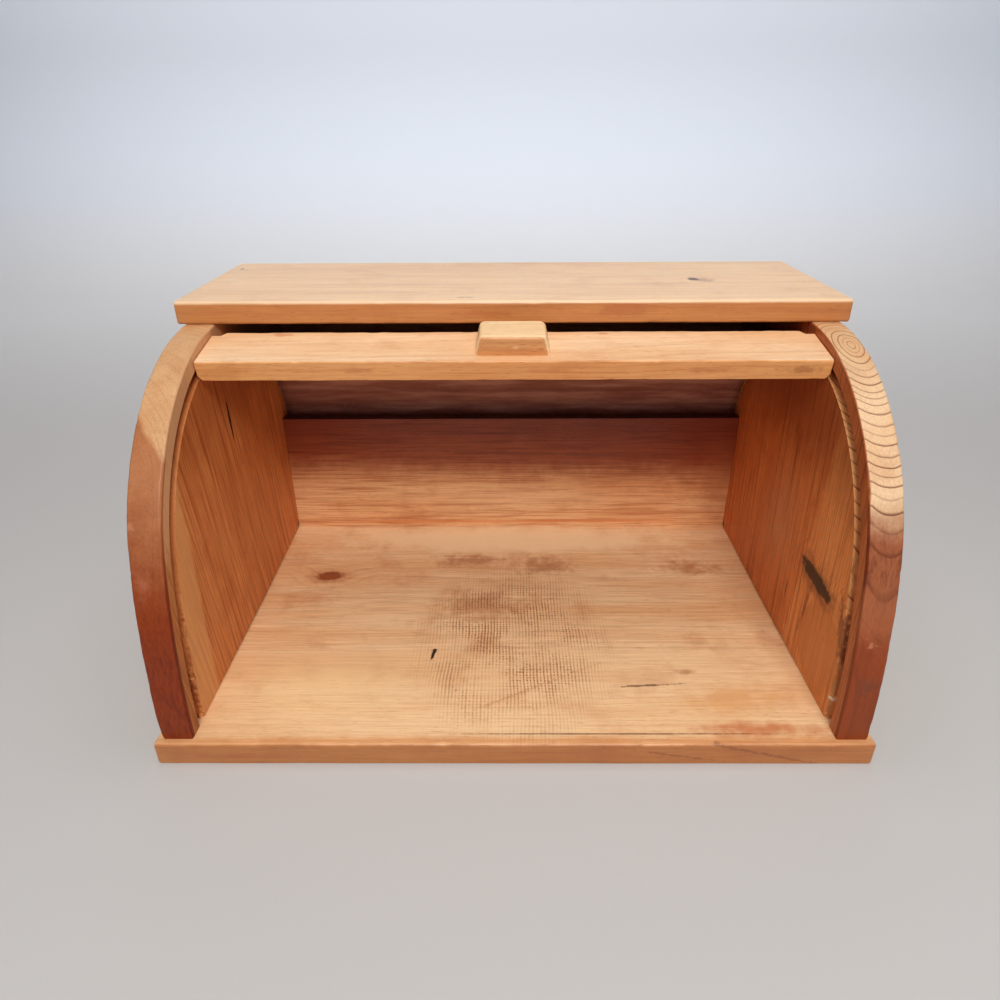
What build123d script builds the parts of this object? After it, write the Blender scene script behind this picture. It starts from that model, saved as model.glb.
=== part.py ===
from build123d import *

import math
import os

# A pine bread box with a roll-top front: a base board, two shaped sides, a
# top board, an inner back board and a thin outer back panel make the case.
# A curtain of wooden slats glued to canvas runs in a groove in each side.
# It is drawn as it stands open, with the lead slat at the top of the mouth.
#
# Sections are drawn in the YZ plane and pushed out along X. While a piece is
# drawn, Y is measured from the front edge of the base board and Z from the
# surface that the box stands on; every piece is then moved back by half the
# depth, so that the origin is the bottom centre of the whole box.

# Base board
BASE_WIDTH = 432.0
BASE_THICKNESS = 15.5
BASE_ARRIS = 1.8

# Side boards, and the curve of their front edge: an arc over the shoulder
# that runs on as a flatter arc, the leg, down to the base
SIDE_THICKNESS = 19.0
SIDE_INSET = 4.5
SIDE_ARRIS = 1.4
SHOULDER_RADIUS = 140.0
SHOULDER_CENTRE_Y = 155.0
SHOULDER_CENTRE_RISE = 72.0
LEG_RADIUS = 409.0
LEG_LEAN = 16.2
SIDE_BACK_WALL = 3.3

# Boards across the case
TOP_THICKNESS = 14.6
TOP_FRONT_Y = 153.0
TOP_ARRIS = 2.2
INNER_BACK_THICKNESS = 9.5
INNER_BACK_HEIGHT = 105.0
INNER_BACK_END_GAP = 0.05
INNER_BACK_TAIL_GAP = 0.8
OUTER_BACK_THICKNESS = 3.5

# Curtain: slats and a lead slat that lie on a chain of hinge lines, where
# the canvas bends. The hinge lines follow the shoulder, this far inside it.
# Two groups of lower slats straighten as they come down on to the leg.
HINGE_INSET = 16.6
BEND_SLATS = 2
LOWER_COUNT = 2 * BEND_SLATS
SLAT_PITCH = 16.7
SLAT_GAP = 0.7
SLAT_THICKNESS = 6.0
SLAT_ARRIS = 1.2
LEAD_PITCH = 40.5
LEAD_THICKNESS = 12.7
LEAD_ARRIS = 1.0
LEAD_CORNER_CUT = 6.0
LEAD_CORNER_SLOPE = 3.5
LEAD_CORNER_DEPTH = 5.0
LEAD_TIP_CUT = 3.0
LEAD_TIP_HEIGHT = 3.5
LEAD_TIP_DEPTH = 9.0
OPEN_ANGLE = 110.2
OPEN_SPARE_TURN = 4.0
CURTAIN_OVERLAP = 10.0
CANVAS_THICKNESS = 0.8
CANVAS_EDGE_GAP = 6.0
CANVAS_HINGE_GAP = 1.0
CANVAS_LEAD_SHARE = 0.6

# Groove in each side, and the play of the slat ends in it
GROOVE_DEPTH = 5.0
GROOVE_PLAY = 0.5
SLAT_END_PLAY = 0.75
LOWER_END_GAP = 0.5

# Handle block on the lead slat
HANDLE_WIDTH = 46.0
HANDLE_TOP_WIDTH = 40.0
HANDLE_DEPTH = 24.0
HANDLE_HEIGHT = 12.0
HANDLE_SETBACK = 7.2
HANDLE_ARRIS = 2.0

# Screws and nails
SCREW_DIAMETER = 3.5
SCREW_HEAD = 7.0
SCREW_HEAD_DEPTH = 2.4
SCREW_BITE = 20.0
SCREW_SLOT_WIDTH = 0.9
SCREW_SLOT_DEPTH = 0.8
HANDLE_SCREW_DIAMETER = 3.0
HANDLE_SCREW_HEAD = 6.0
HANDLE_SCREW_HEAD_DEPTH = 2.0
HANDLE_SCREW_BITE = 8.0
HANDLE_SCREW_SPACING = 24.0
NAIL_DIAMETER = 1.6
NAIL_HEAD = 3.0
NAIL_HEAD_DEPTH = 0.8
NAIL_BITE = 16.0
FASTENER_EDGE = 14.0
TOP_NAIL_COUNT = 3
PANEL_NAIL_COUNT = 4
SIDE_SCREW_COUNT = 3
INNER_BACK_SCREW_COUNT = 2

# Places worked out from the sizes above
SIDE_OUTER_X = BASE_WIDTH / 2 - SIDE_INSET
SIDE_INNER_X = SIDE_OUTER_X - SIDE_THICKNESS
SIDE_MIDDLE_X = (SIDE_OUTER_X + SIDE_INNER_X) / 2
CENTRE_Z = BASE_THICKNESS + SHOULDER_CENTRE_RISE
SIDE_TOP_Z = CENTRE_Z + SHOULDER_RADIUS
TOTAL_HEIGHT = SIDE_TOP_Z + TOP_THICKNESS
HINGE_RADIUS = SHOULDER_RADIUS - HINGE_INSET
SLAT_OUTER_RADIUS = HINGE_RADIUS + SLAT_THICKNESS
GROOVE_OUTER_RADIUS = SLAT_OUTER_RADIUS + GROOVE_PLAY
GROOVE_INNER_RADIUS = math.sqrt(HINGE_RADIUS**2 - (SLAT_PITCH / 2) ** 2) - GROOVE_PLAY
SIDE_BACK_Y = SHOULDER_CENTRE_Y + GROOVE_OUTER_RADIUS + SIDE_BACK_WALL
DEPTH = SIDE_BACK_Y + OUTER_BACK_THICKNESS
LEG_ANGLE = 180.0 - LEG_LEAN
LEG_SHIFT = LEG_RADIUS - SHOULDER_RADIUS
SLAT_TURN = 2 * math.degrees(math.asin(SLAT_PITCH / 2 / HINGE_RADIUS))
LEAD_TURN = 2 * math.degrees(math.asin(LEAD_PITCH / 2 / HINGE_RADIUS))

# The closed curtain runs from the leg's top to a little behind the top board's
# front edge, and that sets the number of slats above the lower ones
CLOSED_TAIL_ANGLE = math.degrees(
    math.acos((TOP_FRONT_Y + CURTAIN_OVERLAP - SHOULDER_CENTRE_Y) / HINGE_RADIUS)
)
UPPER_COUNT = math.ceil((LEG_ANGLE - CLOSED_TAIL_ANGLE) / SLAT_TURN)
SLAT_COUNT = LOWER_COUNT + UPPER_COUNT

# The inner back board stands just in front of the curtain's tail, where the
# tail lies when the curtain is pushed right back
TAIL_ANGLE = OPEN_ANGLE - OPEN_SPARE_TURN - LEAD_TURN - SLAT_COUNT * SLAT_TURN
TAIL_Y = SHOULDER_CENTRE_Y + (HINGE_RADIUS - CANVAS_THICKNESS) * math.cos(math.radians(TAIL_ANGLE))
INNER_BACK_Y = TAIL_Y - INNER_BACK_TAIL_GAP - INNER_BACK_THICKNESS


def on_shoulder(radius, angle):
    """Point (y, z) at a radius and angle about the shoulder's centre; 0 is back, 90 is up."""
    turn = math.radians(angle)
    return SHOULDER_CENTRE_Y + radius * math.cos(turn), CENTRE_Z + radius * math.sin(turn)


def on_leg(inset, angle):
    """Point (y, z) on the leg's arc, an inset inside the side's front edge."""
    centre_y, centre_z = on_shoulder(-LEG_SHIFT, LEG_ANGLE)
    turn = math.radians(angle)
    radius = LEG_RADIUS - inset
    return centre_y + radius * math.cos(turn), centre_z + radius * math.sin(turn)


def leg_end_angle(inset, height):
    """Angle on the leg's arc where it comes down to a height."""
    centre_z = on_shoulder(-LEG_SHIFT, LEG_ANGLE)[1]
    return 180.0 - math.degrees(math.asin((height - centre_z) / (LEG_RADIUS - inset)))


def extrude_section(wire_edges, x_start, x_end):
    """Solid from a closed YZ outline, between two places along X."""
    face = make_face(Wire(wire_edges))
    solid = extrude(face, amount=x_end - x_start, dir=(1, 0, 0))
    return Pos(x_start, 0, 0) * solid


def yz(point):
    """A (y, z) pair as a point in space."""
    return Vector(0, point[0], point[1])


def polygon_bar(points, x_start, x_end):
    """Bar along X with a polygon as its section."""
    corners = [yz(point) for point in points]
    edges = [Line(a, b) for a, b in zip(corners, corners[1:] + corners[:1])]
    return extrude_section(edges, x_start, x_end)


def front_curve(inset, height, back_angle):
    """Edges of the front curve, from a height on the leg to an angle on the shoulder."""
    low = leg_end_angle(inset, height)
    middle = (low + LEG_ANGLE) / 2
    radius = SHOULDER_RADIUS - inset
    leg = ThreePointArc(
        yz(on_leg(inset, low)),
        yz(on_leg(inset, middle)),
        yz(on_shoulder(radius, LEG_ANGLE)),
    )
    shoulder = ThreePointArc(
        yz(on_shoulder(radius, LEG_ANGLE)),
        yz(on_shoulder(radius, (LEG_ANGLE + back_angle) / 2)),
        yz(on_shoulder(radius, back_angle)),
    )
    return [leg, shoulder]


def round_edges(solid, edges, radius):
    """Round the listed edges, where the list isn't empty."""
    return fillet(edges, radius) if len(edges) else solid


def box_between(x_start, x_end, y_start, y_end, z_start, z_end):
    """Upright box from its three spans."""
    size = (x_end - x_start, y_end - y_start, z_end - z_start)
    centre = ((x_start + x_end) / 2, (y_start + y_end) / 2, (z_start + z_end) / 2)
    return Pos(*centre) * Box(*size)


def screw(diameter, head, head_depth, length):
    """Slotted countersunk screw: its head's face is at Z 0 and it points up."""
    cone = Pos(0, 0, head_depth / 2) * Cone(head / 2, diameter / 2, head_depth)
    shank = Pos(0, 0, (head_depth + length) / 2) * Cylinder(diameter / 2, length - head_depth)
    return cone + shank


def slotted(fastener, head):
    """The screw with a driver's slot across its head."""
    slot = Pos(0, 0, SCREW_SLOT_DEPTH / 2) * Box(head, SCREW_SLOT_WIDTH, SCREW_SLOT_DEPTH)
    return fastener - slot


def nail(length):
    """Flat-headed nail: its head's face is at Z 0 and it points up."""
    head = Pos(0, 0, NAIL_HEAD_DEPTH / 2) * Cylinder(NAIL_HEAD / 2, NAIL_HEAD_DEPTH)
    shank = Pos(0, 0, (NAIL_HEAD_DEPTH + length) / 2) * Cylinder(
        NAIL_DIAMETER / 2, length - NAIL_HEAD_DEPTH
    )
    return head + shank


def spread(start, end, count):
    """Evenly spaced places, ends included."""
    step = (end - start) / (count - 1)
    return [start + index * step for index in range(count)]


def side_board(sign):
    """One side: its curved outline, less the groove in its inner face."""
    outline = front_curve(0.0, BASE_THICKNESS, 90.0)
    foot_front = yz(on_leg(0.0, leg_end_angle(0.0, BASE_THICKNESS)))
    shoulder_top = yz(on_shoulder(SHOULDER_RADIUS, 90.0))
    top_back = Vector(0, SIDE_BACK_Y, SIDE_TOP_Z)
    foot_back = Vector(0, SIDE_BACK_Y, BASE_THICKNESS)
    outline += [
        Line(shoulder_top, top_back),
        Line(top_back, foot_back),
        Line(foot_back, foot_front),
    ]
    board = extrude_section(outline, SIDE_INNER_X, SIDE_OUTER_X)
    curved = [
        edge
        for edge in board.edges().filter_by(GeomType.CIRCLE)
        if edge.length > SIDE_THICKNESS
    ]
    board = round_edges(board, curved, SIDE_ARRIS)
    board = board - groove()
    return board if sign > 0 else mirror(board, about=Plane.YZ)


def groove():
    """Groove in the right side: up the leg, over the shoulder and down the back."""
    outer_inset = SHOULDER_RADIUS - GROOVE_OUTER_RADIUS
    inner_inset = SHOULDER_RADIUS - GROOVE_INNER_RADIUS
    below = BASE_THICKNESS - SLAT_THICKNESS / 2
    back_angle = -math.degrees(math.asin(SHOULDER_CENTRE_RISE / GROOVE_OUTER_RADIUS)) - 2.0
    outer = front_curve(outer_inset, below, back_angle)
    inner = front_curve(inner_inset, below, back_angle)
    ends = [
        Line(outer[0] @ 0, inner[0] @ 0),
        Line(outer[1] @ 1, inner[1] @ 1),
    ]
    return extrude_section(
        outer + inner + ends, SIDE_INNER_X - GROOVE_DEPTH, SIDE_INNER_X + GROOVE_DEPTH
    )


def base_board():
    """Base board, with its upper arrises eased."""
    board = box_between(-BASE_WIDTH / 2, BASE_WIDTH / 2, 0, DEPTH, 0, BASE_THICKNESS)
    top_edges = board.faces().sort_by(Axis.Z)[-1].edges()
    uprights = board.edges().filter_by(Axis.Z)
    return fillet(list(top_edges) + list(uprights), BASE_ARRIS)


def top_board():
    """Top board, as wide as the base, with its arrises eased."""
    board = box_between(
        -BASE_WIDTH / 2, BASE_WIDTH / 2, TOP_FRONT_Y, SIDE_BACK_Y, SIDE_TOP_Z, TOTAL_HEIGHT
    )
    front = board.faces().sort_by(Axis.Y)[0].edges().filter_by(Axis.X)
    return fillet(front, TOP_ARRIS)


def inner_back_board():
    """Board across the back of the bread space, in front of the stored curtain."""
    reach = SIDE_INNER_X - INNER_BACK_END_GAP
    top = BASE_THICKNESS + INNER_BACK_HEIGHT
    back = INNER_BACK_Y + INNER_BACK_THICKNESS
    return box_between(-reach, reach, INNER_BACK_Y, back, BASE_THICKNESS, top)


def outer_back_panel():
    """Thin panel on the back edges of the sides."""
    return box_between(
        -SIDE_OUTER_X, SIDE_OUTER_X, SIDE_BACK_Y, DEPTH, BASE_THICKNESS, SIDE_TOP_Z
    )


def hinge_angle(index):
    """Angle of a hinge line as the curtain stands open: 0 is the lead slat's front end."""
    if index == 0:
        return OPEN_ANGLE
    return OPEN_ANGLE - LEAD_TURN - (index - 1) * SLAT_TURN


def hinge_line(index):
    """Place (y, z) of a hinge line as the curtain stands open."""
    return on_shoulder(HINGE_RADIUS, hinge_angle(index))


def chord_frame(index):
    """Start, unit direction and outward unit of the chord behind a hinge line."""
    start = hinge_line(index)
    end = hinge_line(index + 1)
    length = math.dist(start, end)
    along = ((end[0] - start[0]) / length, (end[1] - start[1]) / length)
    outward = (-along[1], along[0])
    return start, along, outward


def on_chord(index, along_by, outward_by):
    """Point (y, z) measured along a chord and outward from it."""
    start, along, outward = chord_frame(index)
    return (
        start[0] + along[0] * along_by + outward[0] * outward_by,
        start[1] + along[1] * along_by + outward[1] * outward_by,
    )


def chord_bar(index, starts, ends, inner, outer, half_width):
    """Bar along X on a chord, between two distances along it and two outward from it."""
    corners = [
        on_chord(index, starts, inner),
        on_chord(index, ends, inner),
        on_chord(index, ends, outer),
        on_chord(index, starts, outer),
    ]
    return polygon_bar(corners, -half_width, half_width)


def outer_edges(solid, index, outward_by):
    """Long edges of a bar that lie on its outer face."""
    start, _, outward = chord_frame(index)
    found = []
    for edge in solid.edges().filter_by(Axis.X):
        middle = edge @ 0.5
        height = (middle.Y - start[0]) * outward[0] + (middle.Z - start[1]) * outward[1]
        if abs(height - outward_by) < SLAT_GAP:
            found.append(edge)
    return found


def slat(number):
    """One slat. The lower ones end between the sides, the rest in the grooves."""
    in_groove = number > LOWER_COUNT
    half_width = SIDE_INNER_X - LOWER_END_GAP
    if in_groove:
        half_width = SIDE_INNER_X + GROOVE_DEPTH - SLAT_END_PLAY
    starts = SLAT_GAP / 2
    ends = SLAT_PITCH - SLAT_GAP / 2
    bar = chord_bar(number, starts, ends, 0.0, SLAT_THICKNESS, half_width)
    return round_edges(bar, outer_edges(bar, number, SLAT_THICKNESS), SLAT_ARRIS)


def lead_slat():
    """Thick lead slat, clipped at its outer rear corners and its inner front corners."""
    half_width = SIDE_INNER_X - LOWER_END_GAP
    bar = chord_bar(0, 0.0, LEAD_PITCH - SLAT_GAP / 2, 0.0, LEAD_THICKNESS, half_width)
    bar = round_edges(bar, outer_edges(bar, 0, LEAD_THICKNESS), LEAD_ARRIS)
    for sign in (-1, 1):
        bar = bar - lead_rear_clip(sign, half_width) - lead_front_clip(sign, half_width)
    for place in handle_screw_places():
        bar = bar - place * handle_screw()
    return bar


def lead_plane():
    """Plane of the lead slat's inner face: X along the slat, Y along the travel, Z outward."""
    start, _, outward = chord_frame(0)
    return Plane(origin=yz(start), x_dir=(1, 0, 0), z_dir=Vector(0, outward[0], outward[1]))


def lead_rear_clip(sign, half_width):
    """Corner cut from the lead slat's outer rear corner, down to the thickness of a slat."""
    rear = LEAD_PITCH - SLAT_GAP / 2
    flat = half_width - LEAD_CORNER_CUT
    outline = Polyline(
        (sign * half_width, rear - LEAD_CORNER_DEPTH),
        (sign * flat, rear - LEAD_CORNER_DEPTH),
        (sign * (flat - LEAD_CORNER_SLOPE), rear),
        (sign * half_width, rear),
        close=True,
    )
    clip = extrude(make_face(outline), amount=LEAD_THICKNESS - SLAT_THICKNESS, dir=(0, 0, 1))
    return lead_plane().location * (Pos(0, 0, SLAT_THICKNESS) * clip)


def lead_front_clip(sign, half_width):
    """Sloped corner cut from the lead slat's inner front corner."""
    outline = Polyline(
        (sign * half_width, 0, 0),
        (sign * (half_width - LEAD_TIP_CUT), 0, 0),
        (sign * half_width, 0, LEAD_TIP_HEIGHT),
        close=True,
    )
    clip = extrude(make_face(outline), amount=LEAD_TIP_DEPTH, dir=(0, 1, 0))
    return lead_plane().location * clip


def handle_plane():
    """Plane on the lead slat's outer face, at the handle's middle; its X runs along the slat."""
    middle = on_chord(0, HANDLE_SETBACK + HANDLE_DEPTH / 2, LEAD_THICKNESS)
    outward = chord_frame(0)[2]
    normal = Vector(0, outward[0], outward[1])
    return Plane(origin=yz(middle), x_dir=(1, 0, 0), z_dir=normal)


def handle_screw_places():
    """Places of the handle's screws, whose heads lie in the lead slat's inner face."""
    plane = handle_plane()
    inner = plane.offset(-LEAD_THICKNESS)
    half = HANDLE_SCREW_SPACING / 2
    return [inner.location * Pos(x, 0, 0) for x in (-half, half)]


def handle_screw():
    """One screw of the handle."""
    length = LEAD_THICKNESS + HANDLE_SCREW_BITE
    return screw(HANDLE_SCREW_DIAMETER, HANDLE_SCREW_HEAD, HANDLE_SCREW_HEAD_DEPTH, length)


def handle_block():
    """Small block with sloped, rounded ends."""
    half_foot = HANDLE_WIDTH / 2
    half_top = HANDLE_TOP_WIDTH / 2
    outline = Polyline(
        (-half_foot, 0), (half_foot, 0), (half_top, HANDLE_HEIGHT), (-half_top, HANDLE_HEIGHT), close=True
    )
    face = make_face(outline)
    block = extrude(face, amount=HANDLE_DEPTH / 2, both=True)
    upper = [edge for edge in block.edges() if (edge @ 0.5).Y > HANDLE_HEIGHT / 4]
    block = fillet(upper, HANDLE_ARRIS)
    block = handle_plane().location * (Rot(X=90) * block)
    for place in handle_screw_places():
        block = block - place * handle_screw()
    return block


def canvas_lead():
    """Canvas on the rear part of the lead slat's inner face."""
    half_width = SIDE_INNER_X - CANVAS_EDGE_GAP
    starts = LEAD_PITCH * (1 - CANVAS_LEAD_SHARE)
    ends = LEAD_PITCH - CANVAS_HINGE_GAP / 2
    strip = chord_bar(0, starts, ends, -CANVAS_THICKNESS, 0.0, half_width)
    for place in handle_screw_places():
        strip = strip - place * handle_screw()
    return strip


def canvas_band(first, last):
    """Canvas on a run of slats, one band along their chords, short of the lines that bend."""
    half_turn = math.radians(SLAT_TURN / 2)
    inner_radius = HINGE_RADIUS - CANVAS_THICKNESS / math.cos(half_turn)
    joints = [hinge_angle(index) for index in range(first + 1, last + 1)]
    outer = [on_chord(first, CANVAS_HINGE_GAP / 2, 0.0)]
    outer += [on_shoulder(HINGE_RADIUS, angle) for angle in joints]
    outer += [on_chord(last, SLAT_PITCH - CANVAS_HINGE_GAP / 2, 0.0)]
    inner = [on_chord(first, CANVAS_HINGE_GAP / 2, -CANVAS_THICKNESS)]
    inner += [on_shoulder(inner_radius, angle) for angle in joints]
    inner += [on_chord(last, SLAT_PITCH - CANVAS_HINGE_GAP / 2, -CANVAS_THICKNESS)]
    half_width = SIDE_INNER_X - CANVAS_EDGE_GAP
    return polygon_bar(outer + inner[::-1], -half_width, half_width)


def base_screw():
    """One screw up through the base board."""
    return screw(SCREW_DIAMETER, SCREW_HEAD, SCREW_HEAD_DEPTH, BASE_THICKNESS + SCREW_BITE)


def base_screw_places():
    """Places of the screws under the sides and under the inner back board."""
    places = []
    front = on_leg(0.0, leg_end_angle(0.0, BASE_THICKNESS))[0] + 2 * FASTENER_EDGE
    for y in spread(front, SIDE_BACK_Y - 2 * FASTENER_EDGE, SIDE_SCREW_COUNT):
        places += [Pos(sign * SIDE_MIDDLE_X, y, 0) for sign in (-1, 1)]
    back_y = INNER_BACK_Y + INNER_BACK_THICKNESS / 2
    half = SIDE_INNER_X / 2
    places += [Pos(x, back_y, 0) for x in spread(-half, half, INNER_BACK_SCREW_COUNT)]
    return places


def top_nail_places():
    """Places of the nails down through the top board into the sides."""
    places = []
    rows = spread(TOP_FRONT_Y + FASTENER_EDGE, SIDE_BACK_Y - 2 * FASTENER_EDGE, TOP_NAIL_COUNT)
    for y in rows:
        places += [Pos(sign * SIDE_MIDDLE_X, y, TOTAL_HEIGHT) * Rot(X=180) for sign in (-1, 1)]
    return places


def panel_nail_places():
    """Places of the nails that hold the outer back panel to the sides."""
    places = []
    low = BASE_THICKNESS + FASTENER_EDGE
    for z in spread(low, SIDE_TOP_Z - FASTENER_EDGE, PANEL_NAIL_COUNT):
        places += [Pos(sign * SIDE_MIDDLE_X, DEPTH, z) * Rot(X=90) for sign in (-1, 1)]
    return places


def cut_all(solid, places, tool):
    """The solid less one tool at each place."""
    for place in places:
        solid = solid - place * tool
    return solid


def build_nodes():
    """Every piece of the box by its name, in drawing coordinates."""
    top_nail = nail(TOP_THICKNESS + NAIL_BITE)
    panel_nail = nail(OUTER_BACK_THICKNESS + NAIL_BITE)
    under_screw = base_screw()
    sides = {}
    for name, sign in (("left_side", -1), ("right_side", 1)):
        board = side_board(sign)
        board = cut_all(board, base_screw_places(), under_screw)
        board = cut_all(board, top_nail_places(), top_nail)
        sides[name] = cut_all(board, panel_nail_places(), panel_nail)
    nodes = {
        "base_board": cut_all(base_board(), base_screw_places(), under_screw),
        "left_side": sides["left_side"],
        "right_side": sides["right_side"],
        "top_board": cut_all(top_board(), top_nail_places(), top_nail),
        "inner_back_board": cut_all(inner_back_board(), base_screw_places(), under_screw),
        "outer_back_panel": cut_all(outer_back_panel(), panel_nail_places(), panel_nail),
        "lead_slat": lead_slat(),
        "handle_block": handle_block(),
    }
    for number in range(1, SLAT_COUNT + 1):
        nodes[f"slat_{number:02d}"] = slat(number)
    nodes["canvas_lead"] = canvas_lead()
    nodes["canvas_lower"] = canvas_band(1, BEND_SLATS)
    nodes["canvas_middle"] = canvas_band(BEND_SLATS + 1, LOWER_COUNT)
    nodes["canvas_upper"] = canvas_band(LOWER_COUNT + 1, SLAT_COUNT)
    slotted_screw = slotted(under_screw, SCREW_HEAD)
    slotted_small = slotted(handle_screw(), HANDLE_SCREW_HEAD)
    nodes["base_screws"] = [place * slotted_screw for place in base_screw_places()]
    nodes["top_nails"] = [place * top_nail for place in top_nail_places()]
    nodes["panel_nails"] = [place * panel_nail for place in panel_nail_places()]
    nodes["handle_screws"] = [place * slotted_small for place in handle_screw_places()]
    return nodes


def main():
    """Write one STEP file per node, moved so that the origin is the bottom centre."""
    os.makedirs("parts", exist_ok=True)
    to_origin = Pos(0, -DEPTH / 2, 0)
    for name, shape in build_nodes().items():
        pieces = shape if isinstance(shape, list) else [shape]
        moved = [to_origin * piece for piece in pieces]
        result = moved[0] if len(moved) == 1 else Compound(children=moved)
        export_step(result, f"parts/{name}.step")


main()
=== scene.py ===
import logging
import math
from dataclasses import dataclass
from enum import Enum

import bpy
import numpy as np
from mathutils import Euler, Matrix, Vector


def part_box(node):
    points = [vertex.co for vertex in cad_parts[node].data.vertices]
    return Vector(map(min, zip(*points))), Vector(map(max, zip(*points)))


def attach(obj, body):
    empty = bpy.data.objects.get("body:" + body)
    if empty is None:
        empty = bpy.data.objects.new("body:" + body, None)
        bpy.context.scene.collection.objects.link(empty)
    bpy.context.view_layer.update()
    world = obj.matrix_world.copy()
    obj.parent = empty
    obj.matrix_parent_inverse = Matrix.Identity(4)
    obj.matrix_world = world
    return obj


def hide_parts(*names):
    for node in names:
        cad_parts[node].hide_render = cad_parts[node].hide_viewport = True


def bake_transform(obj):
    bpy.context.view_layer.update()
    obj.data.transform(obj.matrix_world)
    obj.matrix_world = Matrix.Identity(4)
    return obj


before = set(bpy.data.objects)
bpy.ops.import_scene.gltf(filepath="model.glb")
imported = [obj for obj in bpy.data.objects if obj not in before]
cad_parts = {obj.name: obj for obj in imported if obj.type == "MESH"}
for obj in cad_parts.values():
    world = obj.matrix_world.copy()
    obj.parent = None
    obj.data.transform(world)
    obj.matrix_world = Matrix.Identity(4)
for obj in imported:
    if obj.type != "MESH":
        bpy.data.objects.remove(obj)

log = logging.getLogger("bread_box")

# Lengths are in millimetres until a mesh is made. Sections are worked out with
# Y from the base board's front edge, as the part's source does, and are moved
# back by half the depth with everything else. Colours are sRGB, 0 to 255.
MM = 0.001

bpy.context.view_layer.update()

Pair = tuple[float, float]
Triple = tuple[float, float, float]
Socket = bpy.types.NodeSocket
Piece = bpy.types.Object
Material = bpy.types.Material

QUARTER = np.pi / 2


class Body(Enum):
    """Bodies of the frame that the pieces move with."""

    CASE = "case"
    ROLL_TOP = "roll_top"
    MIDDLE = "middle_slats"
    LOWER = "lower_slats"
    LEAD = "lead"


class Side(Enum):
    """Which end of the box, as a sign along X."""

    LEFT = -1
    RIGHT = 1


class Cover(Enum):
    """Surfaces of a side board that a change of tone is kept to."""

    EVERYWHERE = "everywhere"
    FRONT_EDGE = "front edge"
    RIM = "rim between front edge and groove"
    GROOVE = "walls and bottom of the groove"
    INNER_FACE = "faces behind the groove"


def linear(colour: Triple) -> tuple[float, ...]:
    """Linear red, green, blue and full alpha of an sRGB colour."""
    shares = np.array(colour) / 255.0
    curve = np.where(shares <= 0.04045, shares / 12.92, ((shares + 0.055) / 1.055) ** 2.4)
    return (*map(float, curve), 1.0)


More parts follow.
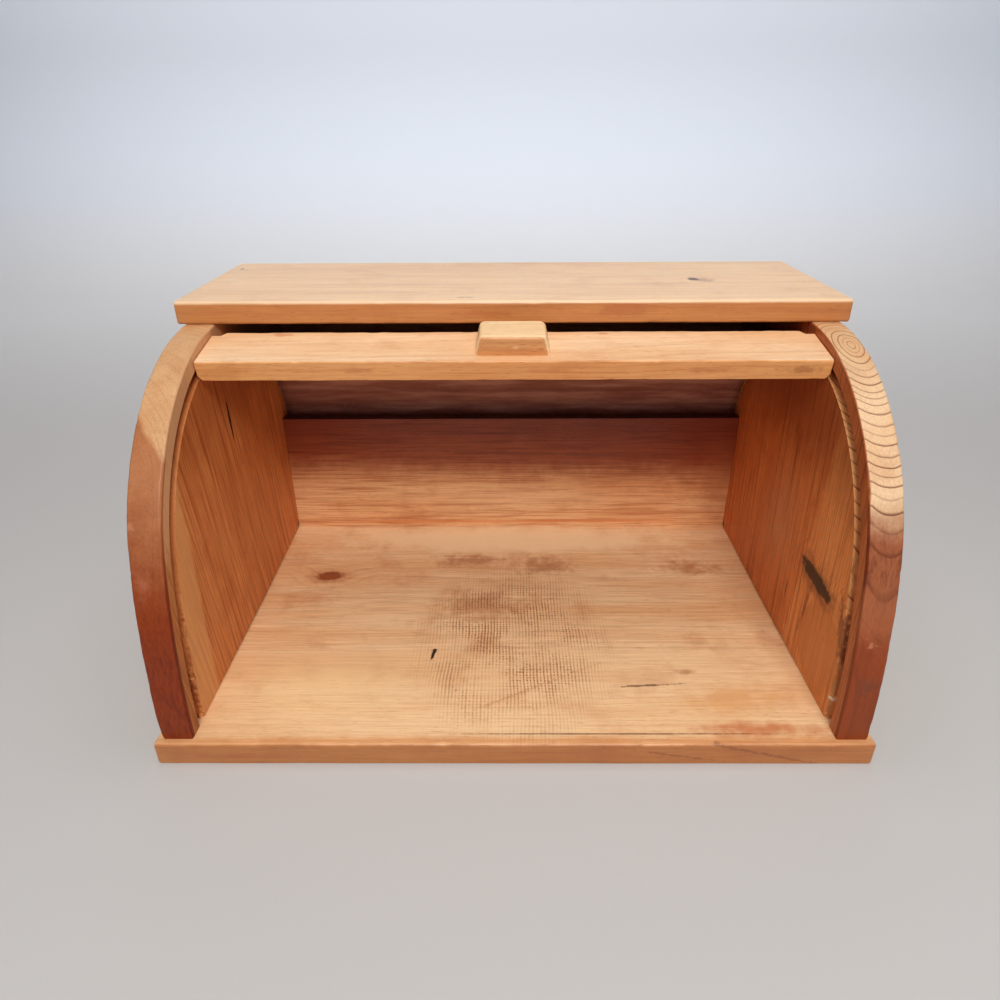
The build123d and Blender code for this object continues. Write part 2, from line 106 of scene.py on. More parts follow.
@dataclass(frozen=True)
class BoxSizes:
    """Sizes of the box in millimetres, the same as in the part's source."""

    base_width: float = 432.0
    base_thickness: float = 15.5
    side_thickness: float = 19.0
    side_inset: float = 4.5
    shoulder_radius: float = 140.0
    centre_y: float = 155.0
    centre_rise: float = 72.0
    leg_radius: float = 409.0
    leg_lean: float = 16.2
    top_thickness: float = 14.6
    top_front: float = 153.0
    hinge_inset: float = 16.6
    slat_thickness: float = 6.0
    slat_pitch: float = 16.7
    slat_gap: float = 0.7
    lead_pitch: float = 40.5
    lead_thickness: float = 12.7
    open_angle: float = 110.2
    groove_depth: float = 5.0
    groove_play: float = 0.5
    back_wall: float = 3.3
    panel_thickness: float = 3.5

    @property
    def side_inner(self) -> float:
        """Distance of a side's inner face from the middle."""
        return self.base_width / 2 - self.side_inset - self.side_thickness

    @property
    def centre_z(self) -> float:
        """Height of the shoulder's centre."""
        return self.base_thickness + self.centre_rise

    @property
    def side_top(self) -> float:
        """Height of the sides' tops."""
        return self.centre_z + self.shoulder_radius

    @property
    def top(self) -> float:
        """Height of the top board's upper face."""
        return self.side_top + self.top_thickness

    @property
    def hinge_radius(self) -> float:
        """Radius of the ring of hinge lines."""
        return self.shoulder_radius - self.hinge_inset

    @property
    def groove_outer(self) -> float:
        """Radius of the groove's outer wall over the shoulder."""
        return self.hinge_radius + self.slat_thickness + self.groove_play

    @property
    def groove_inner(self) -> float:
        """Radius of the groove's inner wall over the shoulder."""
        return math.sqrt(self.hinge_radius**2 - (self.slat_pitch / 2) ** 2) - self.groove_play

    @property
    def side_back(self) -> float:
        """Place of the sides' back edges along Y."""
        return self.centre_y + self.groove_outer + self.back_wall

    @property
    def depth(self) -> float:
        """Depth of the whole box."""
        return self.side_back + self.panel_thickness

    @property
    def leg_angle(self) -> float:
        """Angle about the shoulder's centre where the shoulder runs on as the leg."""
        return 180.0 - self.leg_lean

    @property
    def leg_centre(self) -> np.ndarray:
        """Centre (y, z) of the leg's arc, in line with the shoulder's centre and the leg's top."""
        return self.on_shoulder(self.shoulder_radius - self.leg_radius, self.leg_angle)

    @staticmethod
    def on_arc(
        centre: np.ndarray | Pair, radius: np.ndarray | float, angle: np.ndarray | float
    ) -> np.ndarray:
        """Points on an arc: its centre plus the radius times (cosine, sine) of the angle.

        Args:
            centre: the arc's centre (y, z).
            radius: distance from it.
            angle: angle in degrees, 0 at the back and 90 at the top.

        Returns:
            Array whose last axis is (y, z).
        """
        turn = np.radians(angle)
        return np.stack([centre[0] + radius * np.cos(turn), centre[1] + radius * np.sin(turn)], -1)

    def on_shoulder(self, radius: np.ndarray | float, angle: np.ndarray | float) -> np.ndarray:
        """Points on an arc about the shoulder's centre."""
        return self.on_arc((self.centre_y, self.centre_z), radius, angle)

    def front_curve(self, inset: float, height: float, end: float, count: int) -> np.ndarray:
        """Front curve from a height on the leg, over the shoulder, to an angle.

        Args:
            inset: distance inside the side's front edge.
            height: height where the curve starts on the leg.
            end: angle in degrees on the shoulder where it ends.
            count: points on each of its two arcs.

        Returns:
            Points (y, z), an array of 2 * count - 1 rows.
        """
        radius = self.leg_radius - inset
        foot = 180.0 - math.degrees(math.asin((height - self.leg_centre[1]) / radius))
        leg = self.on_arc(self.leg_centre, radius, np.linspace(foot, self.leg_angle, count))
        angles = np.linspace(self.leg_angle, end, count)[1:]
        return np.vstack([leg, self.on_shoulder(self.shoulder_radius - inset, angles)])

    def turn(self, pitch: float) -> float:
        """Angle in degrees between two hinge lines that are a pitch apart."""
        return 2 * math.degrees(math.asin(pitch / 2 / self.hinge_radius))

    def hinge(self, index: int) -> np.ndarray:
        """Place (y, z) of a hinge line of the open curtain, counted from the lead's front."""
        angle = self.open_angle
        if index:
            angle = angle - self.turn(self.lead_pitch) - (index - 1) * self.turn(self.slat_pitch)
        return self.on_shoulder(self.hinge_radius, angle)


SIZES = BoxSizes()


def back(y: float) -> float:
    """Distance from the box's middle of a place measured from the base's front edge."""
    return y - SIZES.depth / 2


@dataclass(frozen=True)
class SectionFrame:
    """Plane across the box in which a bar's section is drawn.

    Args:
        origin: place (y, z) of the section's zero.
        along: unit vector (y, z) of the section's first direction.
        outward: unit vector (y, z) of its second direction.
    """

    origin: Pair = (0.0, 0.0)
    along: Pair = (1.0, 0.0)
    outward: Pair = (0.0, 1.0)

    @staticmethod
    def on_chord(index: int) -> "SectionFrame":
        """Frame of the curtain's chord behind a hinge line, outward from the shoulder."""
        start, end = SIZES.hinge(index), SIZES.hinge(index + 1)
        unit = (end - start) / np.linalg.norm(end - start)
        along = (float(unit[0]), float(unit[1]))
        return SectionFrame((float(start[0]), float(start[1])), along, (-along[1], along[0]))

    def place(self, first: np.ndarray, second: np.ndarray) -> tuple[np.ndarray, np.ndarray]:
        """Y and Z of section points: the origin plus each distance times its direction."""
        y = self.origin[0] + first * self.along[0] + second * self.outward[0]
        z = self.origin[1] + first * self.along[1] + second * self.outward[1]
        return y, z


def waver(places: np.ndarray, seed: int, wavelength: float) -> np.ndarray:
    """Smooth irregular wave between about -1 and 1.

    The sum of five sines, whose wavelengths go down from the given one by a
    factor of about 1.7 each and whose heights fall with them.

    Args:
        places: distances at which the wave is wanted.
        seed: number that picks the sines' phases.
        wavelength: longest wavelength.

    Returns:
        The wave's height at each place.
    """
    sines, quickening, fall, reach = 5, 1.7, 0.75, 1.6
    random = np.random.default_rng(seed)
    phases = random.uniform(0, 2 * np.pi, sines)
    factors = quickening ** np.arange(sines) * random.uniform(0.9, 1.1, sines)
    heights = fall ** np.arange(sines)
    waves = np.sin(places[..., None] * 2 * np.pi * factors / wavelength + phases)
    return (waves * heights).sum(-1) / heights.sum() * reach


def nicks(places: np.ndarray, seed: int, count: int, width: float) -> np.ndarray:
    """Small knocks along an arris: a sum of narrow bell curves at random places.

    Args:
        places: distances along the arris.
        seed: number that picks the knocks.
        count: number of knocks.
        width: half width of a knock.

    Returns:
        The knocks' depth at each place, from 0 up to about 1.
    """
    random = np.random.default_rng(seed)
    centres = random.uniform(places.min(), places.max(), count)
    depths = random.uniform(0.25, 1.0, count) ** 2
    widths = width * random.uniform(0.5, 1.6, count)
    bells = np.exp(-(((places[..., None] - centres) / widths) ** 2))
    return (bells * depths).sum(-1)


def lengths(points: np.ndarray) -> np.ndarray:
    """Distance along a line of points, from 0 at its first."""
    steps = np.linalg.norm(np.diff(points, axis=0), axis=1)
    return np.concatenate([[0.0], np.cumsum(steps)])


def tube_faces(stations: int, around: int, start: int = 0) -> list[list[int]]:
    """Faces of a tube: quads between its rings, then a flat face at each end.

    Args:
        stations: number of rings.
        around: points in each ring.
        start: number of the tube's first point.

    Returns:
        Faces as lists of point numbers.
    """
    ring = np.arange(around)
    rows = start + np.arange(stations - 1)[:, None] * around
    first, second = rows + ring, rows + (ring + 1) % around
    quads = np.stack([first, second, second + around, first + around], -1).reshape(-1, 4)
    caps = [start + ring[::-1], start + ring + (stations - 1) * around]
    return quads.tolist() + [cap.tolist() for cap in caps]


def new_piece(name: str, points: np.ndarray, faces: list[list[int]]) -> Piece:
    """Object from points in drawing millimetres and faces as lists of point numbers."""
    moved = (points - np.array([0.0, SIZES.depth / 2, 0.0])) * MM
    mesh = bpy.data.meshes.new(name)
    mesh.from_pydata(moved.tolist(), [], faces)
    mesh.validate()
    mesh.update()
    return linked(name, mesh)


def linked(name: str, data: bpy.types.ID) -> bpy.types.Object:
    """Object with the given data, in the scene."""
    thing = bpy.data.objects.new(name, data)
    bpy.context.scene.collection.objects.link(thing)
    return thing


def loft(name: str, rings: np.ndarray) -> Piece:
    """Closed piece from rings of points, with its faces pointing outwards.

    Args:
        name: name of the object.
        rings: array (stations, points around, 3) in drawing millimetres.

    Returns:
        The object, in the scene.
    """
    points = rings.reshape(-1, 3)
    faces = tube_faces(*rings.shape[:2])
    corners = points[np.array(faces[:-2])]
    normals = np.cross(corners[:, 2] - corners[:, 0], corners[:, 3] - corners[:, 1])
    if (normals * (corners.mean(1) - points.mean(0))).sum() < 0:
        faces = [face[::-1] for face in faces]
    return new_piece(name, points, faces)


def cut(piece: Piece, *tools: Piece) -> None:
    """Take the closed tools' shapes away from a closed piece, and remove the tools."""
    for tool in tools:
        modifier = piece.modifiers.new("cut", "BOOLEAN")
        modifier.operation = "DIFFERENCE"
        modifier.solver = "EXACT"
        modifier.object = tool
        evaluated = piece.evaluated_get(bpy.context.evaluated_depsgraph_get())
        mesh = bpy.data.meshes.new_from_object(evaluated)
        piece.modifiers.clear()
        old = piece.data
        piece.data = mesh
        bpy.data.meshes.remove(old)
        mesh.name = piece.name
        bpy.data.objects.remove(tool)


def soften(piece: Piece, sharp_degrees: float = 38.0, weight: int = 90) -> None:
    """Shade a piece smoothly over its arrises and flat on its broad faces."""
    piece.data.shade_smooth()
    piece.data.set_sharp_from_angle(angle=math.radians(sharp_degrees))
    weighted = piece.modifiers.new("face_weight", "WEIGHTED_NORMAL")
    weighted.keep_sharp = True
    weighted.weight = weight


@dataclass(frozen=True)
class WornBar:
    """A bar along X with a rounded rectangular section and worn arrises.

    The four arrises are given in the order inner front, inner rear, outer rear,
    outer front, where inner and outer are the section frame's second direction.
    """

    name: str
    section: SectionFrame
    first_span: Pair
    second_span: Pair
    half_width: float
    arrises: tuple[float, float, float, float]
    end_arris: float = 0.6
    wear: float = 0.35
    knocks: int = 8
    seed: int = 1
    step: float = 3.0

    def build(self, arc_points: int = 6, least: float = 0.12, knock: float = 2.2) -> Piece:
        """Carry the section along X.

        At each station the section is a rectangle with a quarter circle in each
        corner: the corner's centre plus the radius times (cosine, sine). The
        radius wavers along X and grows at the knocks. Over the last arris at
        each end the rectangle draws in by r(1 - sin t) while X moves by
        r(1 - cos t), which rounds the end over.

        Args:
            arc_points: points on each corner's arc.
            least: smallest radius that wear leaves.
            knock: half width of a knock, and its depth in shares of the wear.

        Returns:
            The closed bar.
        """
        turns = np.linspace(0.0, QUARTER, 5)
        reach = self.half_width
        end_x = -reach + self.end_arris * (1 - np.cos(turns))
        count = max(2, int(round((2 * reach - 2 * self.end_arris) / self.step)))
        body_x = np.linspace(-reach + self.end_arris, reach - self.end_arris, count + 1)
        stations = np.concatenate([end_x[:-1], body_x, -end_x[:-1][::-1]])
        draw_in = self.end_arris * (1 - np.sin(turns))
        inset = np.concatenate([draw_in[:-1], np.zeros(count + 1), draw_in[:-1][::-1]])
        spans = (self.first_span, self.second_span)
        limit = 0.45 * min(span[1] - span[0] for span in spans)
        around: tuple[list, list] = ([], [])
        for number, ends in enumerate(((0, 0), (1, 0), (1, 1), (0, 1))):
            worn = 1 + self.wear * waver(stations, self.seed * 7 + number, 90.0)
            dents = nicks(stations, self.seed * 11 + number, self.knocks, knock)
            worn = worn + self.wear * knock * dents
            radius = np.clip(self.arrises[number] * worn, least, limit)
            signs = [1 if end else -1 for end in ends]
            angles = math.atan2(signs[1], signs[0]) - np.pi / 4
            angles = angles + np.linspace(0.0, QUARTER, arc_points)
            for places, span, end, sign, wave in zip(around, spans, ends, signs, (np.cos, np.sin)):
                centre = span[end] - sign * (radius + inset)
                places.append(centre[:, None] + radius[:, None] * wave(angles)[None, :])
        y, z = self.section.place(*(np.concatenate(places, 1) for places in around))
        x = np.broadcast_to(stations[:, None], y.shape)
        return loft(self.name, np.stack([x, y, z], -1))


# How far one more in a noise's seed moves it, in millimetres.
SEED_SHIFT = (31.7, -17.3, 53.9)


class NodeGraph:
    """One material's nodes, made by short calls that return sockets."""

    def __init__(self, name: str) -> None:
        """Start a material with a surface shader and its output."""
        self.material = bpy.data.materials.new(name)
        self.material.use_nodes = True
        self.tree = self.material.node_tree
        self.tree.nodes.clear()
        self.shader = self.tree.nodes.new("ShaderNodeBsdfPrincipled")
        output = self.tree.nodes.new("ShaderNodeOutputMaterial")
        self.tree.links.new(self.shader.outputs["BSDF"], output.inputs["Surface"])

    def feed(self, socket: Socket, value: object) -> None:
        """Link a socket to another, or set its value; a colour is made linear."""
        if isinstance(value, Socket):
            self.tree.links.new(value, socket)
        else:
            socket.default_value = linear(value) if socket.type == "RGBA" else value

    def node(self, kind: str, inputs: dict, **settings: object) -> bpy.types.Node:
        """Make a node.

        Args:
            kind: its type, without the words that all types begin with.
            inputs: sockets or values for its inputs, by number or name.
            settings: its own settings, which are set first.

        Returns:
            The node.
        """
        node = self.tree.nodes.new("ShaderNode" + kind)
        for name, value in settings.items():
            setattr(node, name, value)
        for key, value in inputs.items():
            self.feed(node.inputs[key], value)
        return node

    def coordinates(self, source: str = "Object") -> Socket:
        """Place on the object, or on its own UV map, in millimetres."""
        return self.scaled(self.node("TexCoord", {}).outputs[source], 1.0 / MM)

    def facing(self, axis: Triple) -> Socket:
        """How far the surface faces along an axis, either way, from 0 to 1."""
        normal = self.node("TexCoord", {}).outputs["Normal"]
        return self.math("ABSOLUTE", self.vector("DOT_PRODUCT", normal, axis))

    def sideways(self) -> Socket:
        """How far the surface faces along X, from 0 to 1."""
        return self.facing((1.0, 0.0, 0.0))

    def under_front(self, place: Socket) -> Socket:
        """Depth of a place under the sides' front curve, in millimetres.

        It is the shoulder's radius less the distance from the shoulder's centre
        and, below the line on which the two arcs meet, the same for the leg.
        """
        flat = self.vector("MULTIPLY", place, (0.0, 1.0, 1.0))
        middle = SIZES.on_shoulder(0.0, 0.0)
        depths = []
        for centre, radius in (
            (middle, SIZES.shoulder_radius), (SIZES.leg_centre, SIZES.leg_radius)
        ):
            point = (0.0, back(float(centre[0])), float(centre[1]))
            depths.append(self.minus(radius, self.vector("DISTANCE", flat, point)))
        lean = math.radians(SIZES.leg_lean)
        offset = self.vector("SUBTRACT", flat, (0.0, back(SIZES.centre_y), SIZES.centre_z))
        below = self.vector("DOT_PRODUCT", offset, (0.0, -math.sin(lean), -math.cos(lean)))
        share = self.math("GREATER_THAN", below, 0.0)
        return self.fused(share, self.minus(depths[1], depths[0]), depths[0])

    def math(self, operation: str, *values: object) -> Socket:
        """Result of a Math node."""
        return self.node("Math", dict(enumerate(values)), operation=operation).outputs[0]

    def times(self, *values: object) -> Socket:
        """Product of two numbers."""
        return self.math("MULTIPLY", *values)

    def minus(self, *values: object) -> Socket:
        """The first number less the second."""
        return self.math("SUBTRACT", *values)

    def fused(self, *values: object) -> Socket:
        """The first number times the second, plus the third."""
        return self.math("MULTIPLY_ADD", *values)

    def swing(self, noise: Socket, reach: float) -> Socket:
        """A noise, measured from its middle, times a reach."""
        return self.times(self.minus(noise, 0.5), reach)

    def vector(self, operation: str, *values: object) -> Socket:
        """Result of a Vector Math node: its vector, or its number where it has one."""
        node = self.node("VectorMath", dict(enumerate(values)), operation=operation)
        wants_number = operation in ("LENGTH", "DOT_PRODUCT", "DISTANCE")
        return node.outputs["Value" if wants_number else "Vector"]

    def scaled(self, vector: object, factor: object) -> Socket:
        """A vector times a number."""
        inputs = {0: vector, "Scale": factor}
        return self.node("VectorMath", inputs, operation="SCALE").outputs[0]

    def part(self, vector: object, axis: int) -> Socket:
        """One of a vector's three numbers."""
        return self.node("SeparateXYZ", {0: vector}).outputs[axis]

    def joined(self, *numbers: object) -> Socket:
        """A vector from three numbers."""
        return self.node("CombineXYZ", dict(enumerate(numbers))).outputs[0]

    def centred(self, vector: object, place: Triple, turn: Triple, size: Triple) -> Socket:
        """A vector measured from a place, along turned axes, in lengths of a size.

        Args:
            vector: socket in millimetres.
            place: zero of the new measure.
            turn: turn of its axes in degrees about X, Y and Z.
            size: length of one unit along each axis.

        Returns:
            Socket of the new measure.
        """
        radians = [math.radians(angle) for angle in turn]
        inputs = {"Vector": vector, "Location": place, "Rotation": radians, "Scale": size}
        return self.node("Mapping", inputs, vector_type="TEXTURE").outputs[0]

    def reach(
        self, place: Socket, middle: Triple, size: Triple, turn: Triple = (0, 0, 0)
    ) -> Socket:
        """Distance from an ellipsoid's middle, 1 at its surface."""
        return self.vector("LENGTH", self.centred(place, middle, turn, size))

    def noise(
        self, vector: Socket, size: Triple | float, detail: float = 2.0, rough: float = 0.5,
        seed: float = 0.0, output: str = "Fac",
    ) -> Socket:
        """Smooth noise whose grains have the given size in millimetres.

        Args:
            vector: socket in millimetres.
            size: length of a grain, or its length along each axis.
            detail: number of finer layers.
            rough: share of the finer layers.
            seed: picks another noise.
            output: "Fac" for a number, "Color" for three.

        Returns:
            The output's socket.
        """
        sizes = size if isinstance(size, tuple) else (size,) * 3
        start = tuple(seed * shift for shift in SEED_SHIFT)
        shifted = self.centred(vector, start, (0, 0, 0), sizes)
        inputs = {"Scale": 1.0, "Detail": detail, "Roughness": rough, "Vector": shifted}
        return self.node("TexNoise", inputs).outputs[output]

    def scatter(self, number: object, output: str) -> Socket:
        """Random "Value" or "Color" for a whole number."""
        return self.node("TexWhiteNoise", {"W": number}, noise_dimensions="1D").outputs[output]

    def step(
        self, value: Socket, low: float, high: float, start: float = 0.0, end: float = 1.0
    ) -> Socket:
        """Smooth step from start to end as the value goes from low to high."""
        names = ("Value", "From Min", "From Max", "To Min", "To Max")
        inputs = dict(zip(names, (value, low, high, start, end)))
        return self.node("MapRange", inputs, interpolation_type="SMOOTHSTEP").outputs[0]

    def mix(self, share: object, a: object, b: object, how: str = "MIX") -> Socket:
        """Mix of two colours."""
        settings = {"data_type": "RGBA", "blend_type": how, "clamp_factor": True}
        return self.node("Mix", {0: share, 6: a, 7: b}, **settings).outputs[2]

    def shaded(self, colour: Socket, shade: Socket) -> Socket:
        """A colour times a number."""
        return self.mix(1.0, colour, self.joined(shade, shade, shade), "MULTIPLY")

    def finish(
        self, colour: Socket, roughness: object, height: Socket, depth: float, coat: float = 0.0
    ) -> Material:
        """Link the surface shader.

        Args:
            colour: base colour.
            roughness: roughness.
            height: height for the bump, in units of depth.
            depth: height of one unit, in metres.
            coat: weight of the clear coat.

        Returns:
            The material.
        """
        self.feed(self.shader.inputs["Base Color"], colour)
        self.feed(self.shader.inputs["Roughness"], roughness)
        if coat:
            self.shader.inputs["Coat Weight"].default_value = coat
            self.shader.inputs["Coat Roughness"].default_value = 0.28
        bump = self.node("Bump", {"Strength": 1.0, "Distance": depth, "Height": height})
        self.tree.links.new(bump.outputs[0], self.shader.inputs["Normal"])
        return self.material


@dataclass(frozen=True)
class Mark:
    """A mark of its own on one board: a stain, scuff, crack, knot or nail hole, or a patch of
    painted light or shade.

    It is an ellipsoid about a place, ragged by noise, inside which the colour
    goes over to the mark's own.
    """

    place: Triple
    size: Triple
    colour: Triple
    strength: float = 0.8
    soft: float = 0.5
    rag: float = 0.35
    grain: float = 3.0
    turn: Triple = (0, 0, 0)
    sunk: float = 0.0
    bends_grain: float = 0.0


@dataclass(frozen=True)
class Zone:
    """A part of a board beyond a plane, where the wood has another tone or where light or shade is
    painted.

    The plane goes through a place and faces along a direction; the tone comes
    in over a width, and its edge wavers. It deepens the wood's own colour, or
    covers it where it is painted.
    """

    place: Triple
    facing: Triple
    width: float
    colour: Triple
    strength: float
    waver: float = 6.0
    cover: Cover = Cover.EVERYWHERE
    painted: bool = False


@dataclass(frozen=True)
class Layer:
    """A layer of noise: its grains, and the span over which it comes in."""

    size: Triple | float
    detail: float
    rough: float
    seed: float
    low: float
    high: float

    def share(
        self, graph: NodeGraph, place: Socket, seed: float, start: float = 0.0, end: float = 1.0
    ) -> Socket:
        """Smooth step from start to end over the layer's span, for a wood's own seed."""
        noise = graph.noise(place, self.size, self.detail, self.rough, seed + self.seed)
        return graph.step(noise, self.low, self.high, start, end)


# Layers of a pine, from broad to fine. The long third length runs along the log.
AMBER_LAYER = Layer((26, 26, 190), 3, 0.55, 2, 0.34, 0.68)
FAINT_LAYER = Layer((34, 34, 150), 2, 0.5, 8, 0.36, 0.62)
BLOTCH_LAYER = Layer(30, 4, 0.6, 4, 0.50, 0.74)
STREAK_LAYER = Layer((3.2, 3.2, 110), 2, 0.5, 3, 0.50, 0.70)
LINE_LAYER = Layer((1.3, 1.3, 55), 1, 0.5, 3.5, 0.50, 0.66)
PORE_LAYER = Layer((0.45, 0.45, 7), 1, 0.5, 6, 0.64, 0.76)

# Reach of a stave's random shift in the log, in millimetres.
STAVE_SHIFT = (70.0, 26.0, 300.0)

# Depths under the sides' front curve, in millimetres, over which a cover comes or goes.
EDGE_END = (3.4, 2.4)
GROOVE_START = (3.4, 4.4)
GROOVE_END = (26.0, 24.0)
RIM_END = (13.0, 12.0)
INNER_START = RIM_END[::-1]

PALE = (238, 190, 138)
AMBER = (219, 152, 93)
LATE = (176, 96, 48)
HEART = (160, 84, 48)
DARK_KNOT = (74, 36, 20)
SOOT = (38, 24, 20)
PRINT = (146, 78, 36)


@dataclass(frozen=True)
class PineFinish:
    """Varnished pine, cut from a log with its own pith, rings, fibres and marks.

    The wood is worked out in space, so that every face of a board shows the cut
    through the same log: rings on end grain, arches on flat faces, lines on
    edges. pith is a place on the log's axis and log_turn turns that axis from
    upright. Both are in the box's own millimetres.
    """

    name: str
    pith: Triple
    log_turn: Triple
    ring: float = 3.6
    late: float = 0.55
    wander: float = 5.0
    taper: float = 0.010
    pale: Triple = PALE
    amber: Triple = AMBER
    late_tone: Triple = LATE
    amber_share: float = 0.5
    fibre: float = 0.24
    lines: float = 0.30
    streaks: float = 0.35
    blotch: float = 0.25
    blotch_tone: Triple = HEART
    joints: tuple[float, ...] = ()
    seed: float = 0.0
    gloss: float = 0.42
    coat: float = 0.22
    mirror: float = 0.5
    zones: tuple[Zone, ...] = ()
    marks: tuple[Mark, ...] = ()
    weave: tuple[Triple, Triple] | None = None
    weave_spots: tuple[tuple[Triple, Triple], ...] = ()
    late_low: float = 0.42
    late_high: float = 0.94
    face_late: float = 1.0
    fading: float = 0.55
    narrowing: float = 0.0
    oval: float = 1.0

    def _log(self, graph: NodeGraph, place: Socket) -> Socket:
        """Place in the log: two numbers across it and one along it.

        Each stave between glue joints is shifted by its own random vector, so
        that its rings don't run on into the next one.
        """
        log_place = graph.centred(place, self.pith, self.log_turn, (1, 1, 1))
        if not self.joints:
            return log_place
        y = graph.part(place, 1)
        stave: object = self.seed + 3.0
        for joint in self.joints:
            stave = graph.math("ADD", stave, graph.math("GREATER_THAN", y, joint))
        shift = graph.vector("SUBTRACT", graph.scatter(stave, "Color"), (0.5, 0.5, 0.5))
        shift = graph.vector("MULTIPLY", shift, STAVE_SHIFT)
        return graph.vector("ADD", log_place, shift)

    def _late_wood(self, graph: NodeGraph, place: Socket, log_place: Socket) -> Socket:
        """Late wood of the growth rings, from 0 to 1.

        The distance from the pith, pushed about by slow noise and by knots, is
        divided by the rings' width. Within a ring the late wood grows smoothly
        and ends sharply; each ring has its own strength.
        """
        pushed = []
        for size, rough, seed, reach in (
            ((55.0, 55.0, 300.0), 0.5, self.seed, 2.4 * self.wander),
            ((9.0, 9.0, 60.0), 0.55, self.seed + 1.0, 0.26 * self.ring),
        ):
            push = graph.noise(log_place, size, 2.0, rough, seed, "Color")
            push = graph.vector("SUBTRACT", push, (0.5, 0.5, 0.5))
            pushed.append(graph.scaled(push, reach))
        moved = graph.vector("ADD", graph.vector("ADD", log_place, pushed[0]), pushed[1])
        flat = graph.vector("MULTIPLY", moved, (1.0, 1.0 / self.oval, 0.0))
        reach = graph.vector("LENGTH", flat)
        reach = graph.fused(graph.part(log_place, 2), self.taper, reach)
        for mark in self.marks:
            if mark.bends_grain:
                far = graph.reach(place, mark.place, mark.size, mark.turn)
                bend = graph.step(far, 3.5, 0.0, 0.0, mark.bends_grain)
                reach = graph.math("ADD", reach, bend)
        if self.narrowing:
            reach = graph.fused(graph.times(reach, self.narrowing), reach, reach)
        spread = graph.noise(graph.joined(reach, self.seed * 9.0, 0.0), 6.0 * self.ring, 1.0)
        phase = graph.fused(reach, 1.0 / self.ring, graph.swing(spread, 2.6))
        share = graph.math("FRACT", phase)
        strength = graph.scatter(graph.math("FLOOR", phase), "Value")
        strength = graph.fused(strength, 0.6, 0.4)
        rise = graph.math("POWER", graph.step(share, self.late_low, self.late_high), 1.6)
        fall = graph.step(share, self.late_high, 1.0, 1.0, 0.0)
        late = graph.times(graph.times(rise, fall), strength)
        late = graph.times(late, FAINT_LAYER.share(graph, log_place, self.seed, 1 - self.fading))
        if self.face_late != 1.0:
            on_face = graph.step(graph.sideways(), 0.35, 0.75, 1.0, self.face_late)
            late = graph.times(late, on_face)
        return late

    def _ragged(self, graph: NodeGraph, place: Socket, mark: Mark) -> Socket:
        """Share of a mark's colour: 1 inside, 0 outside, over a ragged edge."""
        far = graph.reach(place, mark.place, mark.size, mark.turn)
        rough = graph.noise(place, mark.grain, 3.0, 0.6, mark.place[0] * 0.1)
        far = graph.math("ADD", far, graph.swing(rough, 4.0 * mark.rag))
        return graph.step(far, 1.0, 1.0 - mark.soft, 0.0, mark.strength)

    def _covered(self, graph: NodeGraph, place: Socket, cover: Cover) -> Socket:
        """Share of a cover at a place: 1 on its surface and 0 elsewhere."""
        depth = graph.under_front(place)
        if cover is Cover.FRONT_EDGE:
            crown = back(SIZES.centre_y)
            ahead = graph.step(graph.part(place, 1), crown + 6.0, crown)
            return graph.times(graph.step(depth, *EDGE_END), ahead)
        distance = graph.math("ABSOLUTE", graph.part(place, 0))
        inside = graph.step(distance, SIZES.side_inner + 16.0, SIZES.side_inner + 13.0)
        flat = graph.step(graph.sideways(), 0.45, 0.8)
        if cover is Cover.GROOVE:
            spans = (graph.step(depth, *span) for span in (GROOVE_START, GROOVE_END))
            beneath = graph.times(*spans)
            return graph.times(beneath, graph.times(inside, graph.step(flat, 1.0, 0.0)))
        span = RIM_END if cover is Cover.RIM else INNER_START
        return graph.times(graph.times(flat, inside), graph.step(depth, *span))

    def _weave_print(self, graph: NodeGraph, place: Socket) -> Socket:
        """Rows of small dark specks that a woven mat has left, stronger in the middle.

        The sum of two sines at right angles is highest on a grid of spots. Slow
        noise and an ellipse raise it where the print is strong, fine noise makes
        the spots uneven, and the columns also show as faint lines.
        """
        middle, size = self.weave
        bent = graph.noise(place, 60.0, 2.0, 0.5, 8.0)
        waves = []
        for axis, bow, spacing in ((0, 5.0, 2.3), (1, 4.0, 2.7)):
            along = graph.fused(bent, bow, graph.part(place, axis))
            waves.append(graph.math("SINE", graph.times(along, 2 * math.pi / spacing)))
        columns, rows = waves
        spots = graph.fused(rows, 0.7, columns)
        patch = graph.noise(place, (26.0, 20.0, 20.0), 3.0, 0.65, 6.0)
        uneven = graph.noise(place, (2.3, 60.0, 20.0), 1.0, 0.5, 7.0)
        strong: object = 0.0
        for spot, reach in self.weave_spots:
            near = graph.step(graph.reach(place, spot, reach), 1.0, 0.4)
            strong = graph.math("MAXIMUM", near, strong)
        patch = graph.step(graph.fused(strong, 0.15, patch), 0.30, 0.66, 0.24, 0.96)
        inside = graph.times(graph.step(graph.reach(place, middle, size), 1.0, 0.4), patch)
        spots = graph.fused(inside, 1.1, spots)
        thin = graph.noise(place, (2.6, 1.3, 1.6), 1.0, 0.5, 5.0)
        spots = graph.fused(graph.minus(thin, 0.5), 4.6, spots)
        lines = graph.step(columns, -0.3, 0.9)
        lines = graph.times(lines, graph.step(uneven, 0.35, 0.65, 0.25, 0.85))
        return graph.times(graph.math("MAXIMUM", graph.step(spots, 1.3, 2.2), lines), inside)

